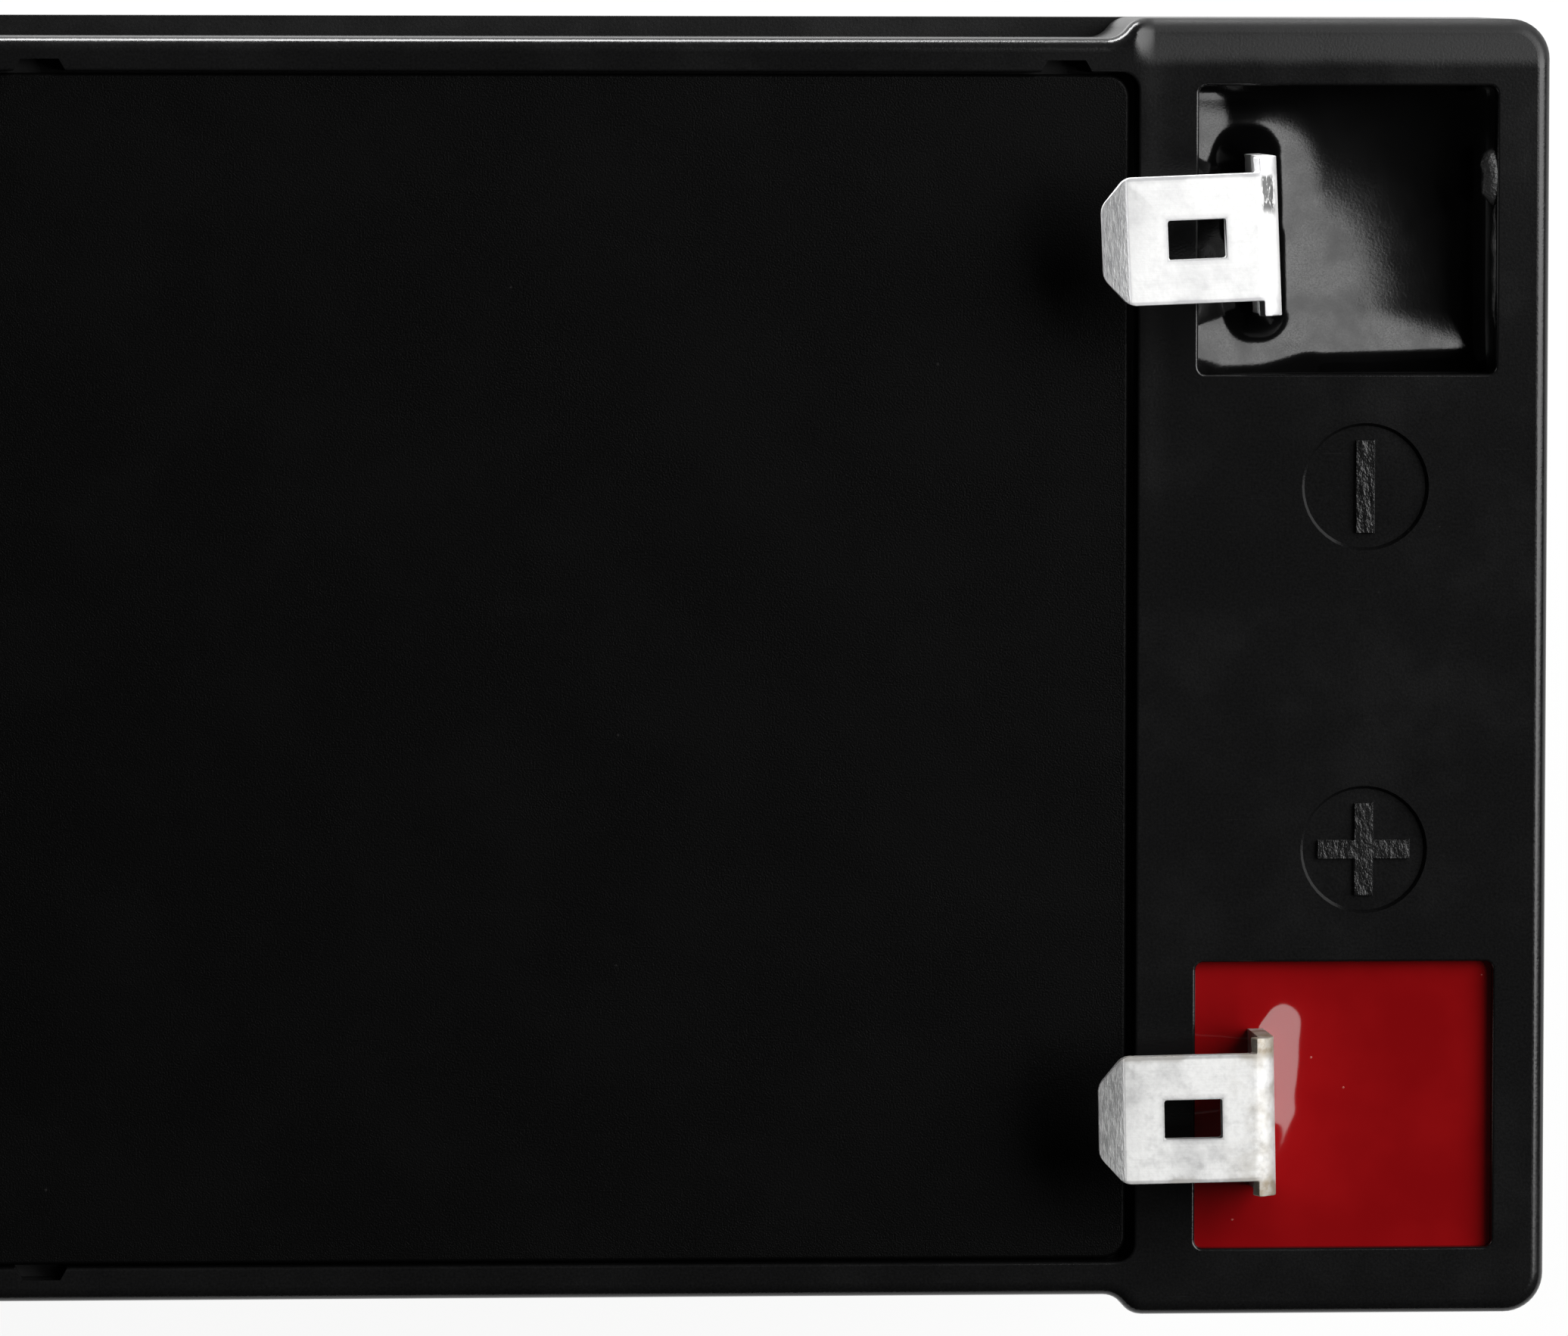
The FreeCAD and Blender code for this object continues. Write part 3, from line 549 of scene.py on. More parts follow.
@dataclass(frozen=True)
class SignedLidAbs(MouldedAbs):
    """The lid's moulding: coarse, torn bars on its signs, worn end blocks and painted shade on the floor of
    the cover recess.

    Lengths are in millimetres from the battery's middle and its base.
    """

    sign_x: float = 66.25
    sign_y: float = 9.1
    bar_half_length: float = 2.35
    bar_half_width: float = 0.5
    tear_height: float = 0.10
    block_start: float = 54.4
    block_top: tuple[float, float] = (92.4, 93.2)
    sign_top: tuple[float, float] = (93.0, 93.5)
    roll_y: float = 30.0
    roll_width: float = 2.1
    roll_depth: float = 0.33
    edge_matt: float = 0.18
    recess_half: tuple[float, float] = (54.8, 30.5)
    recess_floor: float = 92.0
    # Near-black colour painted on the recess floor as shade
    recess_shade_colour: Colour = (0.001, 0.001, 0.001)

    def bar(self, along: Signal, across: Signal) -> Signal:
        """1 inside a bar that lies along one axis, from the distances to its middle."""
        inside_length = abs(along).fall(self.bar_half_length - 0.05, self.bar_half_length)
        return inside_length * abs(across).fall(self.bar_half_width - 0.05, self.bar_half_width)

    def worn_edges(self, x: Signal, y: Signal) -> tuple[Signal, Signal]:
        """The end blocks' softened outer edges.

        Args:
            x: Place along the battery.
            y: Place across it.

        Returns:
            How far the top sinks towards the edges in millimetres, and how much rougher it is there.
        """
        on_block = abs(x).rise(self.block_start, self.block_start + 1.2)
        sink = y.rise(self.roll_y, self.roll_y + self.roll_width) * on_block * self.roll_depth
        band = y.rise(self.roll_y, self.roll_y + 0.9) * self.edge_matt
        rim = y.rise(self.roll_y + 1.8, self.roll_y + self.roll_width) * 0.20
        corner = y.rise(6.0, 31.0) * abs(x).rise(64.0, 74.0) * 0.07
        lip = abs(x).fall(self.block_start + 0.6, self.block_start + 2.4) * y.rise(4.0, 14.0) * 0.09
        return sink, (band + rim + corner + lip) * on_block

    def build(self) -> Material:
        """Mixes the finish.

        Returns:
            The finished material.
        """
        sheet, colour, rough, height = self.start()
        x, y, z = sheet.axes()
        to_x = x - self.sign_x
        minus = self.bar(y - self.sign_y, to_x)
        plus = self.bar(y + self.sign_y, to_x).at_least(self.bar(to_x, y + self.sign_y))
        torn = minus.at_least(plus) * z.rise(*self.sign_top)
        coarse = sheet.grain(0.34, 3.0, 0.65, sheet.stretched(y=0.55, turn=35.0))
        sink, matt = self.worn_edges(x, y)
        top = z.rise(*self.block_top)
        height = height + torn * coarse * self.tear_height - sink * top
        # Painted shade: the recess floor, seen only in the gaps and notches round the cover, is darkened
        # towards the near-black recess colour and made rougher
        recess_shade_and_matt = z.fall(self.recess_floor + 0.1, self.recess_floor + 0.4)
        for side, half in zip((x, y), self.recess_half):
            recess_shade_and_matt = recess_shade_and_matt * abs(side).fall(half, half + 0.2)
        colour = sheet.mix(recess_shade_and_matt * 0.2, colour, self.recess_shade_colour)
        rough = rough + 0.10 * torn + matt * top + 0.16 * (1.0 - top) + 0.3 * recess_shade_and_matt
        return sheet.surface(colour, rough, sheet.relief(height), Specular_IOR_Level=self.sheen)


@dataclass(frozen=True)
class TinnedStrip:
    """Tin plate over rolled strip: soft mottling, a burnished tip, dulled edges, stains by the leg, and
    painted shade along the edges, round the hole and on the tip's bevel.

    Its pattern is measured in millimetres from the terminal's post, along and across the blade.
    Wear, stain, smudge and bend wear are shares from 0 to 1.
    """

    name: str
    post: tuple[float, float]
    turn: float
    colour: Colour = (0.95, 0.95, 0.945)
    # The grey that both wear and painted shade mix the tin towards
    dull_and_shade: Colour = (0.60, 0.60, 0.61)
    stain: Colour = (0.42, 0.36, 0.26)
    burnt: Colour = (0.20, 0.14, 0.06)
    soot: Colour = (0.07, 0.07, 0.07)
    wear: float = 0.35
    stain_amount: float = 0.0
    smudge: float = 0.0
    bend_wear: float = 0.1
    metal: float = 0.86
    roughness: float = 0.60
    tip_root: float = -11.65
    hole_x: float = -8.2
    hole_half: tuple[float, float] = (1.45, 0.975)
    bend: float = -4.55
    half_width: float = 3.175

    def build(self) -> Material:
        """Mixes the finish.

        Returns:
            The finished material.
        """
        sheet = FinishSheet(self.name)
        back = sheet.node("ShaderNodeVectorMath", {"operation": "SUBTRACT"},
                          {0: sheet.place, 1: (*self.post, 0.0)})
        home = sheet.stretched(turn=-self.turn, place=back.outputs[0])
        x, y, _ = sheet.axes(home)
        mottle = sheet.grain(0.9, 5.0, 0.68, home)
        pitted = sheet.grain(0.22, 3.0, 0.6, home)
        cloud = sheet.grain(2.6, 3.0, 0.6, home)
        rolling = sheet.grain(1.0, 2.0, 0.5, sheet.stretched(0.3, 9.0, 2.0, place=home))
        tip = x.fall(self.tip_root - 0.06, self.tip_root + 0.06)
        burnish = sheet.grain(0.5, 4.0, 0.7, sheet.stretched(3.0, 0.7, place=home))
        rim = abs(y).rise(self.half_width - 0.45, self.half_width) * cloud.rise(0.42, 0.62)
        # Painted shade: thin dark lines along the blade's long edges and across the crease at the root of
        # the tip's bevel
        painted_edge_shade = abs(y).rise(self.half_width - 0.24, self.half_width - 0.10) * x.fall(-5.0, -4.7)
        painted_edge_shade = painted_edge_shade.at_least(abs(x - self.tip_root).fall(0.03, 0.09) * 1.3)
        # Painted shade: a grey ring with a darker inner line round the latch hole, for its rolled edge
        past_hole = (abs(x - self.hole_x) - self.hole_half[0]).at_least(abs(y) - self.hole_half[1])
        painted_hole_rim_shade = past_hole.fall(0.12, 0.34) * (0.25 + 0.5 * past_hole.fall(0.05, 0.12))
        worn = cloud.rise(0.44, 0.68) * 0.6 + mottle.rise(0.44, 0.74) * 0.6 + pitted.rise(0.35, 0.80) * 0.25
        worn = worn * self.wear
        bent = x.rise(-5.3, -4.8) * (0.5 + cloud) * self.bend_wear
        # Wear mixed with painted shade: worn patches, edges and the bend are wear; the edge lines and the
        # hole's ring are painted shade, and the tip's darkening is partly burnish marks and partly painted
        # shade of its downward bevel
        wear_and_painted_shade = (worn + rim * 0.5 + painted_edge_shade * 0.75 + painted_hole_rim_shade * 0.9 + bent
                  + tip * (0.35 + 0.6 * burnish.rise(0.40, 0.62))).at_most(1.0)
        by_leg = x.rise(self.bend - 2.8, self.bend + 0.2) * cloud.rise(0.40, 0.62)
        stained = (by_leg + rim * 0.7) * self.stain_amount
        colour = sheet.mix(wear_and_painted_shade, self.colour, self.dull_and_shade)
        colour = sheet.mix(stained.at_most(1.0), colour, self.stain)
        shoulder = abs(y).rise(3.05, 3.3) * x.rise(-5.3, -5.0) * self.stain_amount
        colour = sheet.mix((shoulder * mottle.rise(0.35, 0.60) * 1.6).at_most(1.0), colour, self.burnt)
        ragged = x.rise(-5.05, -4.80) * x.fall(-4.35, -4.10) * y.rise(0.8, 1.5) * y.fall(2.9, 3.15)
        ragged = ragged * burnish.rise(0.38, 0.52) * self.smudge
        colour = sheet.mix(ragged, colour, self.soot)
        rough = self.roughness + 0.10 * mottle - 0.10 * tip
        height = rolling * 0.003 + mottle * 0.012 + burnish * tip * 0.03
        return sheet.surface(colour, rough, sheet.relief(height), Metallic=self.metal)


@dataclass(frozen=True)
class PouredEpoxy:
    """Glossy cast epoxy with a slow ripple, pin-sized bubbles and, where asked, a frosted skin.

    Ripple and grain are heights in millimetres. The skin is a share from 0 to 1.
    """

    name: str
    colour: Colour
    deep: Colour
    speck: Colour
    roughness: float = 0.06
    ripple: float = 0.02
    grain: float = 0.0
    shine: float = 0.5
    skin: float = 0.0

    def build(self) -> Material:
        """Mixes the finish.

        Returns:
            The finished material.
        """
        sheet = FinishSheet(self.name)
        cloud = sheet.grain(5.0, 3.0, 0.5)
        colour = sheet.mix(cloud.rise(0.35, 0.70), self.deep, self.colour)
        bubbles = sheet.specks(1.7, 0.07) * sheet.grain(6.0, 1.0).rise(0.45, 0.55)
        colour = sheet.mix(bubbles * 0.6, colour, self.speck)
        height = sheet.grain(2.6, 2.0, 0.4) * self.ripple + bubbles * 0.01
        height = height + sheet.grain(0.14, 2.0, 0.6) * self.grain
        rough = self.roughness + 0.02 * cloud
        frost = sheet.grain(0.06, 2.0, 0.6).rise(0.25, 0.75)
        skin = frost * sheet.grain(1.6, 3.0).rise(0.2, 0.7) * self.skin
        return sheet.surface(colour, rough, sheet.relief(height), Specular_IOR_Level=self.shine,
                             Coat_Weight=skin, Coat_Roughness=self.roughness)


@dataclass(frozen=True)
class SoftRubber:
    """Dull black rubber with a light bloom."""

    name: str
    colour: Colour = (0.018, 0.018, 0.018)
    bloom: Colour = (0.07, 0.07, 0.07)

    def build(self) -> Material:
        """Mixes the finish.

        Returns:
            The finished material.
        """
        sheet = FinishSheet(self.name)
        cloud = sheet.grain(1.4, 4.0, 0.6)
        colour = sheet.mix(cloud * 0.35, self.colour, self.bloom)
        return sheet.surface(colour, 0.55 + 0.2 * cloud, sheet.relief(sheet.grain(0.3) * 0.01))


@dataclass(frozen=True)
class PastedLead:
    """A plate's paste, slightly cracked, over its cast grid and strap."""

    name: str
    paste: Colour
    lead: Colour
    metal: float
    paste_top: float = 66.4
    grid_pitch: float = 5.2

    def build(self) -> Material:
        """Mixes the finish.

        Returns:
            The finished material.
        """
        sheet = FinishSheet(self.name)
        x, _, z = sheet.axes()
        cast = z.rise(self.paste_top - 0.3, self.paste_top)
        grid = z.to_and_fro(self.grid_pitch / 2).at_most(x.to_and_fro(self.grid_pitch)).fall(0.2, 0.6)
        crumb = sheet.grain(0.5, 4.0, 0.65)
        colour = sheet.mix(crumb * 0.5, self.paste, shaded(self.paste, 0.6))
        colour = sheet.mix(cast, colour, self.lead)
        height = crumb * 0.05 - grid * 0.06 * (1.0 - cast)
        return sheet.surface(colour, 0.75 - 0.25 * cast, sheet.relief(height), Metallic=self.metal * cast)


@dataclass(frozen=True)
class GlassWool:
    """White felt of fine glass fibre."""

    name: str
    colour: Colour = (0.80, 0.80, 0.78)
    shade: Colour = (0.62, 0.62, 0.60)

    def build(self) -> Material:
        """Mixes the finish.

        Returns:
            The finished material.
        """
        sheet = FinishSheet(self.name)
        fibres = sheet.grain(0.5, 5.0, 0.7, sheet.stretched(1.0, 1.0, 4.0, 20.0))
        colour = sheet.mix(fibres * 0.5, self.colour, self.shade)
        return sheet.surface(colour, 0.95, sheet.relief(fibres * 0.12), Sheen_Weight=0.3)


@dataclass(frozen=True)
class CastSolder:
    """Grey solder with frosted grain."""

    name: str
    colour: Colour = (0.50, 0.50, 0.51)
    shade: Colour = (0.34, 0.34, 0.36)

    def build(self) -> Material:
        """Mixes the finish.

        Returns:
            The finished material.
        """
        sheet = FinishSheet(self.name)
        frost = sheet.grain(0.4, 4.0, 0.6)
        colour = sheet.mix(frost, self.colour, self.shade)
        return sheet.surface(colour, 0.35 + 0.2 * frost, sheet.relief(frost * 0.02), Metallic=1.0)


@dataclass
class BladeTerminal:
    """A push-on blade stamped and bent from one strip, with its leg, foot and ring, in millimetres."""

    name: str
    turn: float
    strip: float = 0.8
    bend: float = 0.4
    blade_width: float = 6.35
    reach: float = 8.9
    tip_length: float = 1.25
    tip_cut: float = 1.4
    tip_bevel: float = 0.25
    hole: tuple[float, float] = (2.9, 1.95)
    hole_from_tip: float = 4.7
    leg_width: float = 7.9
    leg_from_post: float = 4.0
    ring_radius: float = 3.4
    eye_radius: float = 2.1
    rollover: float = 0.22
    shoulder_radius: float = 0.32
    tip_radius: float = 0.30
    hole_radius: float = 0.14
    burr_radius: float = 0.07
    bend_steps: int = 8
    foot_bend_steps: int = 4

    def __post_init__(self) -> None:
        """Takes the heights and the post's place from the frame."""
        low, high = millimetres(self.name)
        seal_low, seal_high = millimetres(self.name.replace("terminal", "post_seal"))
        self.top = high.z
        self.floor = low.z
        self.post = Vector(((seal_low.x + seal_high.x) / 2, (seal_low.y + seal_high.y) / 2, 0.0))
        self.leg = -self.leg_from_post
        self.bend_start = self.leg - self.bend - self.strip
        self.tip = self.leg - self.reach
        self.tip_root = self.tip + self.tip_length
        self.hole_middle = self.tip + self.hole_from_tip

    def blank(self) -> Workpiece:
        """Cuts the blade's upper face, with the latch hole and the cut-off corners of its tip.

        Returns:
            The flat blank.
        """
        middle = Vector(((self.bend_start + self.tip_root) / 2, 0.0, self.top))
        length = self.bend_start - self.tip_root
        work = Workpiece.sheet(self.name + "_blade", middle, (length, self.blade_width), (1, 1))
        border = 1.0
        work.pick(Element.FACE, lambda p: True)
        bpy.ops.mesh.inset(thickness=border * MM)
        work.resize(x=self.hole[0] / (length - 2 * border),
                    y=self.hole[1] / (self.blade_width - 2 * border))
        work.shift(x=self.hole_middle - middle.x)
        bpy.ops.mesh.delete(type="FACE")
        work.pick(Element.EDGE, lambda p: p.x < self.tip_root + NEAR)
        work.extrude_edges(x=-self.tip_length)
        work.resize(y=1.0 - 2.0 * self.tip_cut / self.blade_width)
        return work

    def bend_down(self, work: Workpiece) -> None:
        """Bends the strip over into the leg and back under the post, and widens the leg.

        Args:
            work: The flat blank.
        """
        outer = self.bend + self.strip
        step = 90.0 / self.bend_steps
        foot = self.floor + self.strip
        upper = Vector((self.bend_start, 0.0, self.top - outer))
        lower = Vector((self.leg + self.bend, 0.0, foot + self.bend))
        work.pick(Element.EDGE, lambda p: p.x > self.bend_start - NEAR)
        work.spin(step, 1, upper, (0.0, 1.0, 0.0))
        work.spin(90.0 - step, self.bend_steps - 1, upper, (0.0, 1.0, 0.0))
        work.extrude_edges(z=foot + self.bend - upper.z)
        work.spin(-90.0, self.foot_bend_steps, lower, (0.0, 1.0, 0.0))
        work.extrude_edges(x=-lower.x)
        widen = (self.leg_width - self.blade_width) / 2
        below_top = self.top - 3 * NEAR
        for side in (-1, 1):
            edge = side * self.blade_width / 2
            work.pick(Element.EDGE, lambda p: abs(p.y - edge) < NEAR and lower.z < p.z < below_top)
            work.extrude_edges(y=side * widen)

    def soften(self, work: Workpiece) -> None:
        """Rounds the corners of the plan, then rolls the long edges over as a punch leaves them.

        Args:
            work: The solid strip.
        """
        level = self.top - self.strip / 2
        half_hole = self.hole[0] / 2 + 5 * NEAR
        beside = self.tip_root - 5 * NEAR

        def shoulder(p: Vector) -> bool:
            """Whether an edge stands at the leg's shoulder."""
            return self.bend_start < p.x < self.leg and abs(p.z - level) < self.strip / 4 and abs(p.y) > 3.0

        def upright(p: Vector) -> bool:
            """Whether an edge runs through the strip, from its upper to its lower face."""
            return abs(p.z - level) < 5 * NEAR

        work.pick(Element.VERTEX, lambda p: p.x < self.tip + NEAR)
        work.resize(z=1.0 - 2.0 * self.tip_bevel / self.strip, about=Vector((self.tip, 0.0, level)))
        for test, least_angle, radius, segments in (
                (shoulder, SHARP, self.shoulder_radius, 4),
                (lambda p: p.x < self.tip_root + NEAR and upright(p), 20.0, self.tip_radius, 3),
                (lambda p: abs(p.x - self.hole_middle) < half_hole and upright(p), SHARP,
                 self.hole_radius, 3),
                (lambda p: p.x > beside and p.z > self.floor + 2.0, SHARP, self.rollover, 4),
                (lambda p: p.x < beside, SHARP, self.burr_radius, 2)):
            work.pick(Element.EDGE, test, least_angle)
            work.round_edges(radius, segments)
        work.pick(Element.EDGE, lambda p: abs(p.x - self.tip_root) < 8 * NEAR and abs(p.z - level) > 0.3)
        bpy.ops.mesh.mark_sharp()

    def build(self, material: Material) -> None:
        """Makes the terminal in its place.

        Args:
            material: The plated finish.
        """
        work = self.blank()
        self.bend_down(work)
        work.tidy()
        work.face_up(lambda p: p.x < self.bend_start)
        work.modify("SOLIDIFY", thickness=self.strip * MM, offset=-1.0, use_even_offset=True)
        middle = Vector((0.0, 0.0, self.floor + self.strip / 2))
        work.join(Workpiece.drum("ring", middle, self.ring_radius, self.strip))
        work.cut(Workpiece.drum("eye", Vector((0.0, 0.0, self.floor)), self.eye_radius, 4.0 * self.strip))
        work.tidy()
        self.soften(work)
        work.tidy()
        work.place(self.leg_place(MM))
        work.smooth(35.0, keep_flats=True)
        work.finish(material, "tinned_strip", [self.name])

    def leg_place(self, unit: float = 1.0) -> Matrix:
        """The move from the terminal's own frame to the battery's, in millimetres times a unit."""
        return Matrix.Translation(self.post * unit) @ Matrix.Rotation(math.radians(self.turn), 4, "Z")


class Shore(Enum):
    """A place that the epoxy's surface climbs."""

    WEST = "west wall"
    EAST = "east wall"
    SOUTH = "south wall"
    NORTH = "north wall"
    SOUTH_WEST = "southern end of the west wall"
    NORTH_WEST = "west wall beside the blade"
    SOUTH_EAST = "eastern half of the south wall"
    LEG = "the terminal's leg"


# A start beyond the leg's southern end, so that all of the leg counts
WHOLE_LEG = -10.0


@dataclass(frozen=True)
class Lift:
    """A climb of the epoxy's surface, in millimetres.

    It has a height, a reach over which it fades out, and a place across the leg from which it starts.
    """

    shore: Shore
    height: float
    reach: float
    start: float = WHOLE_LEG


@dataclass
class EpoxyFill:
    """Epoxy in a terminal pocket: a dished sheet that climbs the walls and the terminal's leg."""

    name: str
    terminal: BladeTerminal
    below_lid: float
    lifts: Sequence[Lift]
    calm: int = 5
    depth: float = 2.0
    pitch: float = 0.16
    south_west_end: float = 2.5
    north_west_from: float = 3.6
    north_west_to: float = 0.3
    south_east_from: float = 6.5
    leg_corner: float = 0.1

    def __post_init__(self) -> None:
        """Takes the pocket's walls and the lid's top from the frame."""
        self.low, self.high = millimetres(self.name)
        self.level = millimetres("lid")[1].z - self.below_lid

    def touches(self, shore: Shore, point: Vector, start: float = WHOLE_LEG) -> bool:
        """Whether a point of the sheet lies against a shore.

        Args:
            shore: The shore.
            point: The point, in millimetres.
            start: Where across the leg its shore begins, from the leg's middle northwards.

        Returns:
            True if it does.
        """
        edge = self.pitch / 4
        local = self.terminal.leg_place().inverted() @ point
        half_strip = self.terminal.strip / 2
        half_leg = self.terminal.leg_width / 2 - self.leg_corner
        at_leg = abs(local.x - self.terminal.leg + half_strip) < half_strip and abs(local.y) < half_leg
        west, south = point.x < self.low.x + edge, point.y < self.low.y + edge
        from_north = self.high.y - point.y
        touching = {
            Shore.WEST: west,
            Shore.EAST: point.x > self.high.x - edge,
            Shore.SOUTH: south,
            Shore.NORTH: point.y > self.high.y - edge,
            Shore.SOUTH_WEST: west and point.y < self.low.y + self.south_west_end,
            Shore.NORTH_WEST: west and self.north_west_to < from_north < self.north_west_from,
            Shore.SOUTH_EAST: south and point.x > self.low.x + self.south_east_from,
            Shore.LEG: at_leg and local.y > start,
        }
        return touching[shore]

    def build(self, material: Material, slot: str) -> None:
        """Makes the epoxy in its place.

        Args:
            material: The epoxy's finish.
            slot: Its slot in the record.
        """
        size = (self.high.x - self.low.x, self.high.y - self.low.y)
        centre = Vector(((self.low.x + self.high.x) / 2, (self.low.y + self.high.y) / 2, self.level))
        cuts = (round(size[0] / self.pitch), round(size[1] / self.pitch))
        work = Workpiece.sheet(self.name + "_pour", centre, size, cuts)
        for lift in self.lifts:
            work.pick(Element.VERTEX, lambda p: self.touches(lift.shore, p, lift.start))
            work.shift(z=lift.height, reach=lift.reach)
        shores = (Shore.WEST, Shore.EAST, Shore.SOUTH, Shore.NORTH, Shore.LEG)
        work.pick(Element.VERTEX, lambda p: not any(self.touches(shore, p) for shore in shores))
        bpy.ops.mesh.vertices_smooth(factor=0.5, repeat=self.calm)
        work.everything()
        work.extrude_faces(z=-self.depth)
        work.tidy()
        work.smooth(50.0)
        work.finish(material, slot, [self.name])


@dataclass
class EpoxyRun:
    """A run of set epoxy that hangs on a pocket's wall, with ragged edges.

    A lump is its place along the run, how far it stands out and its reach. All is in millimetres.
    """

    name: str
    middle_y: float
    past_wall: float
    below_lid: float
    half: Vector
    lumps: Sequence[tuple[float, float, float]]
    touch: float = 0.25

    def build(self, material: Material, slot: str) -> None:
        """Makes the run in its place.

        Args:
            material: The epoxy's finish.
            slot: Its slot in the record.
        """
        wall, top = millimetres("negative_potting")[1].x, millimetres("lid")[1].z
        middle = Vector((wall + self.past_wall, self.middle_y, top - self.below_lid))
        work = Workpiece.start(self.name, middle, self.half * MM, bpy.ops.mesh.primitive_ico_sphere_add,
                               subdivisions=4, radius=1.0)
        for along, out, reach in self.lumps:
            place = middle + Vector((-self.half.x, along, self.half.z * 0.4))
            work.pick(Element.VERTEX, lambda p: (p - place).length < self.touch)
            work.shift(x=-out, reach=reach, fading=Fading.ROUND)
        work.tidy()
        work.smooth(60.0)
        work.finish(material, slot)


@dataclass
class VentCover:
    """The plate over the vents, with its pads over the valve caps.

    The solid leaves one gap all round. Here the long sides lie closer to the rim.
    """

    solid_gap: float = 0.4
    side_gap: float = 0.12
    corner: float = 1.15
    edge: float = 0.2
    pad_radius: float = 2.6
    pad_overlap: float = 0.1
    thickness: float = 1.5

    def build(self, material: Material) -> None:
        """Makes the cover in its place.

        Args:
            material: The cover's finish.
        """
        low, high = millimetres("vent_cover")
        spare = self.solid_gap - self.side_gap
        size = Vector((high.x - low.x, high.y - low.y + 2 * spare, self.thickness))
        centre = Vector(((low.x + high.x) / 2, (low.y + high.y) / 2, high.z - self.thickness / 2))
        work = Workpiece.start("vent_cover_plate", centre, size * MM, bpy.ops.mesh.primitive_cube_add,
                               size=1.0)
        work.pick(Element.EDGE, lambda p: abs(p.z - centre.z) < NEAR)
        work.round_edges(self.corner, 8)
        work.pick(Element.EDGE, lambda p: p.z > high.z - NEAR, SHARP)
        work.round_edges(self.edge, 3)
        depth = high.z - self.thickness - low.z + self.pad_overlap
        for cell in range(1, CELLS + 1):
            cap_low, cap_high = millimetres(f"valve_cap_{cell}")
            middle = (cap_low + cap_high) / 2
            middle.z = low.z + depth / 2
            work.join(Workpiece.drum(f"pad_{cell}", middle, self.pad_radius, depth, 32))
        work.tidy()
        work.smooth(35.0, keep_flats=True)
        work.finish(material, "cover_plastic", ["vent_cover"])


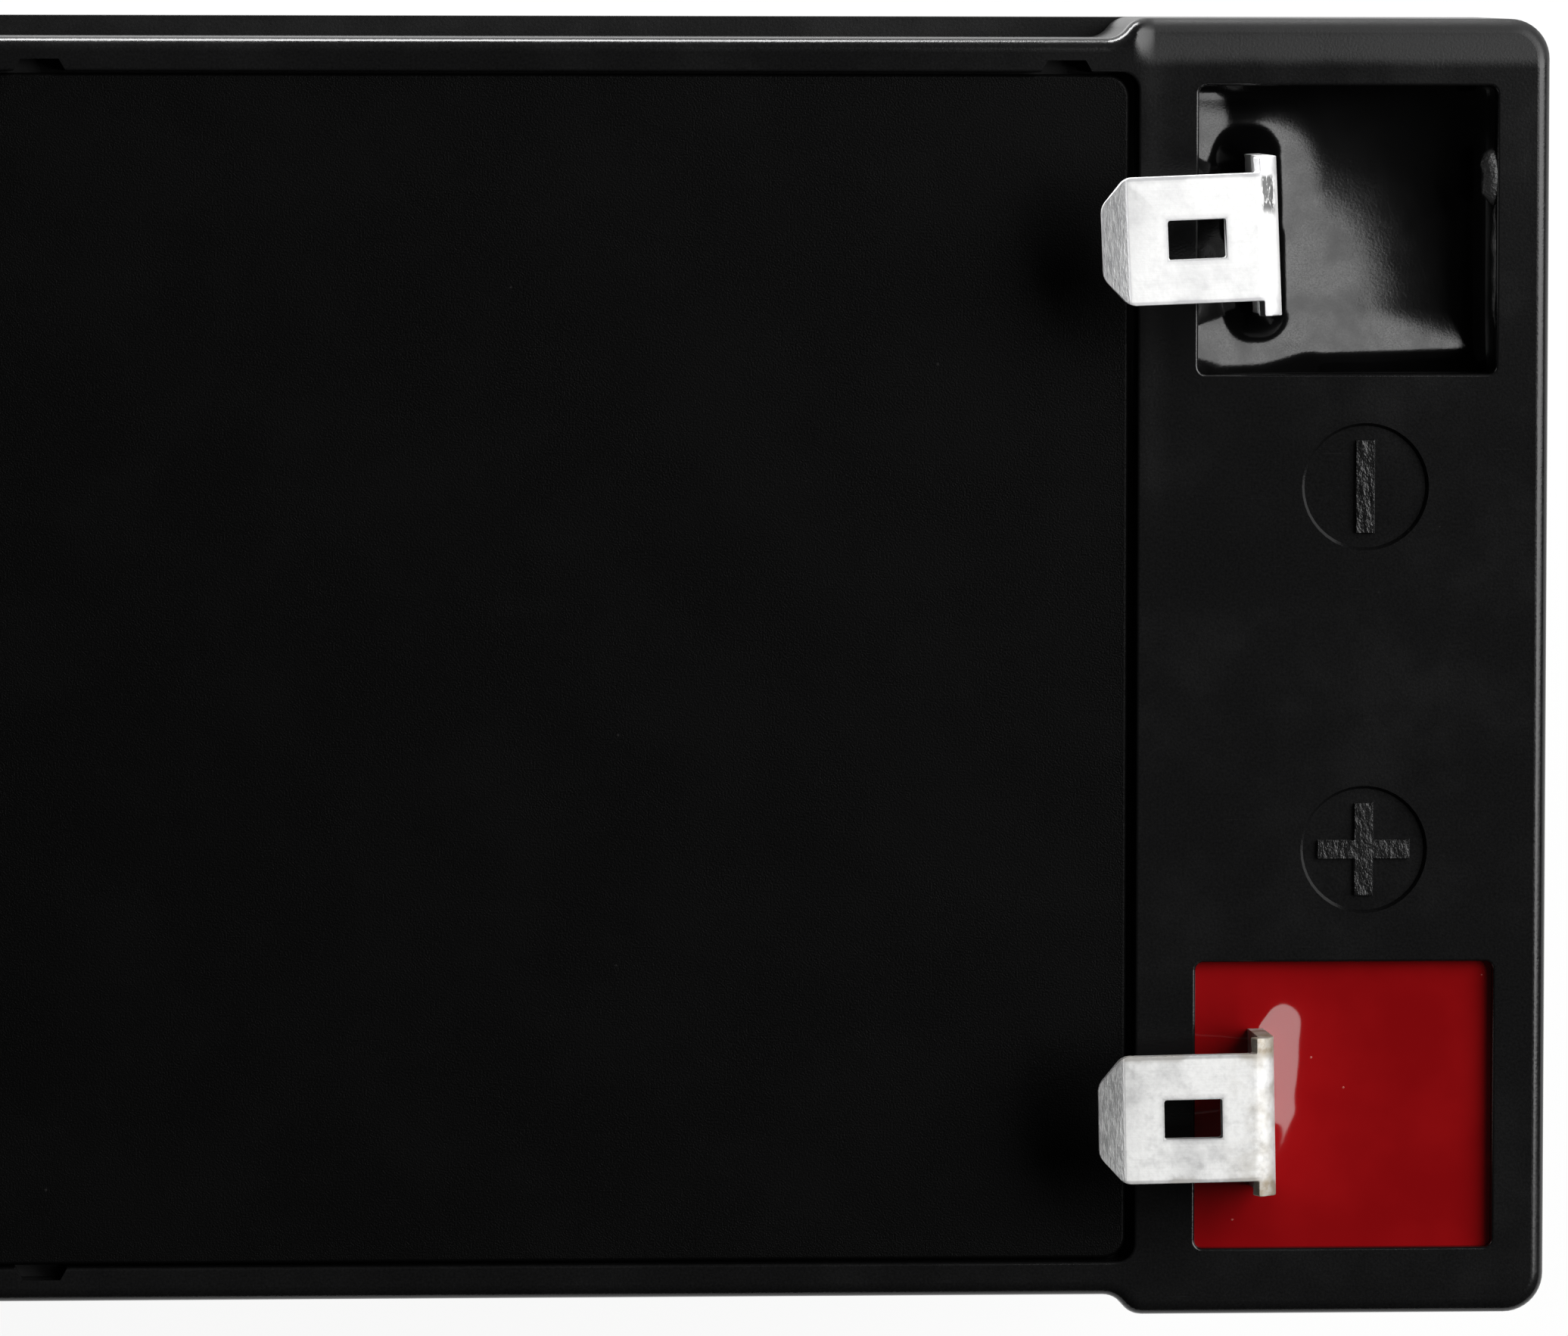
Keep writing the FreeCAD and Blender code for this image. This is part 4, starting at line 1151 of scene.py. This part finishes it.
@dataclass
class Studio:
    """A white table, two soft lamps and the camera over the lid, in millimetres and degrees."""

    camera: Vector = field(default_factory=lambda: Vector((-10.0, 36.0, 694.0)))
    aim: Vector = field(default_factory=lambda: Vector((37.064, 0.083, 94.0)))
    lit: Vector = field(default_factory=lambda: Vector((55.0, 0.0, 94.0)))
    frame_width: float = 78.273
    sensor_width: float = 36.0
    roll: float = 0.134
    table_size: float = 6000.0
    table_colour: Colour = (0.86, 0.86, 0.86)
    table_glow: float = 0.92
    ambient: float = 0.03

    def table(self) -> None:
        """Lays the pale table under the battery."""
        Workpiece.clear_selection()
        bpy.ops.mesh.primitive_plane_add(size=self.table_size * MM, location=(0, 0, 0))
        table = bpy.context.active_object
        table.name = "table"
        sheet = FinishSheet("pale_table")
        path = sheet.node("ShaderNodeLightPath")
        camera, glossy, transmission = (Signal(sheet, path.outputs[f"Is {ray} Ray"])
                                        for ray in ("Camera", "Glossy", "Transmission"))
        seen = camera.at_least(glossy).at_least(transmission)
        matt = sheet.node("ShaderNodeBsdfDiffuse", inputs={"Color": self.table_colour})
        glow = sheet.node("ShaderNodeEmission", inputs={"Color": WHITE, "Strength": 1.0})
        inputs = {0: seen * self.table_glow, 1: matt.outputs[0], 2: glow.outputs[0]}
        both = sheet.node("ShaderNodeMixShader", inputs=inputs)
        sheet.node("ShaderNodeOutputMaterial", inputs={"Surface": both.outputs[0]})
        table.data.materials.append(sheet.material)

    def room(self) -> None:
        """A dim even room, white where the camera looks at it."""
        world = bpy.data.worlds.new("room")
        bpy.context.scene.world = world
        sheet = NodeSheet(world)
        path = sheet.node("ShaderNodeLightPath")
        dim, white = (sheet.node("ShaderNodeBackground", inputs={"Color": WHITE, "Strength": strength})
                      for strength in (self.ambient, 1.0))
        inputs = {0: path.outputs["Is Camera Ray"], 1: dim.outputs[0], 2: white.outputs[0]}
        both = sheet.node("ShaderNodeMixShader", inputs=inputs)
        sheet.node("ShaderNodeOutputWorld", inputs={"Surface": both.outputs[0]})

    def lamp(self, name: str, *, azimuth: float, tilt: float, distance: float, size: tuple[float, float],
             radiance: float) -> None:
        """A soft rectangular lamp aimed at the terminals.

        Args:
            name: The lamp's name.
            azimuth: Its direction in degrees, from +X towards +Y.
            tilt: Its angle off the vertical, in degrees.
            distance: How far it is from the terminals, in millimetres.
            size: Its sides in millimetres.
            radiance: How bright its face is, where 1 is white.
        """
        data = bpy.data.lights.new(name, "AREA")
        data.shape = "RECTANGLE"
        data.size, data.size_y = size[0] * MM, size[1] * MM
        data.energy = radiance * math.pi * data.size * data.size_y
        lamp = bpy.data.objects.new(name, data)
        bpy.context.scene.collection.objects.link(lamp)
        around, off = math.radians(azimuth), math.radians(tilt)
        out = Vector((math.cos(around) * math.sin(off), math.sin(around) * math.sin(off), math.cos(off)))
        lamp.location = (self.lit + out * distance) * MM
        lamp.rotation_euler = out.to_track_quat("Z", "Y").to_euler()
        lamp.visible_camera = False

    def lights(self) -> None:
        """The lamps: a large key to the east and a low card to the north."""
        self.lamp("key", azimuth=24.5, tilt=48.0, distance=700.0, size=(620.0, 620.0), radiance=7.2)
        self.lamp("low_north", azimuth=123.6, tilt=100.0, distance=230.0, size=(340.0, 72.0), radiance=24.0)

    def shoot(self) -> None:
        """The camera at the photograph's angle."""
        data = bpy.data.cameras.new("overhead")
        camera = bpy.data.objects.new("overhead", data)
        bpy.context.scene.collection.objects.link(camera)
        back = (self.camera - self.aim).normalized()
        right = Vector((0.0, 1.0, 0.0)).cross(back).normalized()
        up = back.cross(right)
        facing = Matrix((right, up, back)).transposed().to_4x4()
        roll = Matrix.Rotation(math.radians(self.roll), 4, "Z")
        camera.matrix_world = Matrix.Translation(self.camera * MM) @ facing @ roll
        data.sensor_width = self.sensor_width
        data.lens = data.sensor_width * (self.camera - self.aim).length / self.frame_width
        data.clip_start, data.clip_end = 0.01, 20.0
        bpy.context.scene.camera = camera
        bpy.context.scene.view_settings.view_transform = "Standard"


@dataclass
class Battery:
    """The whole battery: moulded shells from the frame, with terminals and epoxy modelled here."""

    finishes: dict[str, Material] = field(default_factory=dict)

    def mix_finishes(self) -> None:
        """Makes one material for each slot of the record, and one for the rough runs."""
        lead = (0.33, 0.33, 0.35)
        for finish in (
                MouldedAbs("case_plastic", roughness=0.44, rub=0.015, sheen=0.24),
                SignedLidAbs("lid_plastic"),
                MouldedAbs("cover_plastic", colour=(0.0014, 0.0014, 0.0014), dust=0.05, roughness=0.34,
                           grain_size=0.085, grain_height=0.026, sheen=0.05),
                SoftRubber("cap_rubber"),
                SoftRubber("seal_rubber"),
                TinnedStrip("tinned_strip", post=(65.3, 21.95), turn=2.4),
                CastSolder("solder"),
                PouredEpoxy("negative_epoxy", (0.0015, 0.0015, 0.0016), (0.001, 0.001, 0.001),
                            (0.04, 0.04, 0.04), roughness=0.12, grain=0.003, shine=0.20, skin=0.38),
                PouredEpoxy("positive_epoxy", (0.225, 0.003, 0.004), (0.190, 0.002, 0.003),
                            (0.45, 0.12, 0.10), roughness=0.035, ripple=0.006, shine=0.32),
                PouredEpoxy("rough_epoxy", (0.05, 0.05, 0.05), (0.012, 0.012, 0.012), (0.2, 0.2, 0.2),
                            roughness=0.38, ripple=0.05, grain=0.05),
                PastedLead("negative_lead", (0.22, 0.22, 0.23), lead, 1.0),
                PastedLead("positive_lead", (0.085, 0.045, 0.030), lead, 1.0),
                GlassWool("glass_mat")):
            self.finishes[finish.name] = finish.build()

    def dress_frame(self) -> None:
        """Gives every node of the frame the finish of its slot."""
        slots = {part["node"]: part["material_slot"] for part in frame["record"]["subparts"]}
        for node, piece in frame["nodes"].items():
            piece.data.materials.clear()
            piece.data.materials.append(self.finishes[slots[node]])

    def pour(self, negative: BladeTerminal, positive: BladeTerminal) -> None:
        """Fills both pockets with epoxy and hangs the two rough runs on the black pocket's wall.

        Args:
            negative: The terminal in the black pocket.
            positive: The terminal in the red pocket.
        """
        black = [Lift(Shore.SOUTH_WEST, 2.98, 16.6), Lift(Shore.SOUTH, 0.45, 1.2),
                 Lift(Shore.SOUTH_EAST, 0.7, 3.2), Lift(Shore.NORTH_WEST, 0.5, 2.2),
                 Lift(Shore.EAST, 0.2, 0.5), Lift(Shore.NORTH, 0.2, 0.6),
                 Lift(Shore.LEG, 0.3, 3.4, start=1.5), Lift(Shore.LEG, 1.3, 1.75)]
        red = [Lift(Shore.WEST, 0.04, 0.4), Lift(Shore.SOUTH, 0.04, 0.4), Lift(Shore.EAST, 0.10, 0.6),
               Lift(Shore.NORTH, 0.10, 0.6), Lift(Shore.LEG, 0.46, 4.6)]
        red += [Lift(Shore.LEG, 0.05, 4.8, start=-2.5 + step) for step in range(6)]
        black_epoxy, rough_epoxy = self.finishes["negative_epoxy"], self.finishes["rough_epoxy"]
        EpoxyFill("negative_potting", negative, 4.4, black).build(black_epoxy, "negative_epoxy")
        for run in (
                EpoxyRun("negative_epoxy_run_1", 24.6, -0.10, 0.55, Vector((0.48, 1.45, 0.50)),
                         [(1.0, 0.30, 0.6), (0.3, 0.15, 0.4), (-0.5, 0.20, 0.5), (-1.1, 0.10, 0.4)]),
                EpoxyRun("negative_epoxy_run_2", 20.3, 0.02, 0.50, Vector((0.18, 3.3, 0.35)),
                         [(2.4, 0.06, 0.5), (1.0, 0.10, 0.6), (-0.6, 0.05, 0.5), (-2.2, 0.08, 0.6)])):
            run.build(rough_epoxy, "negative_epoxy")
        red_epoxy = self.finishes["positive_epoxy"]
        EpoxyFill("positive_potting", positive, 0.75, red, calm=14).build(red_epoxy, "positive_epoxy")

    def build(self) -> None:
        """Makes the battery's own pieces in order."""
        self.mix_finishes()
        self.dress_frame()
        VentCover().build(self.finishes["cover_plastic"])
        negative = BladeTerminal("negative_terminal", turn=2.4)
        positive = BladeTerminal("positive_terminal", turn=1.1)
        bright = TinnedStrip("bright_strip", negative.post.xy[:], negative.turn, smudge=0.9)
        stained = TinnedStrip("stained_strip", positive.post.xy[:], positive.turn,
                              colour=(0.90, 0.90, 0.89), dull_and_shade=(0.48, 0.48, 0.48), wear=0.6,
                              stain_amount=0.35, bend_wear=0.45)
        negative.build(bright.build())
        positive.build(stained.build())
        self.pour(negative, positive)


def main() -> None:
    """Builds the battery and its studio."""
    Battery().build()
    studio = Studio()
    studio.table()
    studio.room()
    studio.lights()
    studio.shoot()


if __name__ == "__main__":
    main()
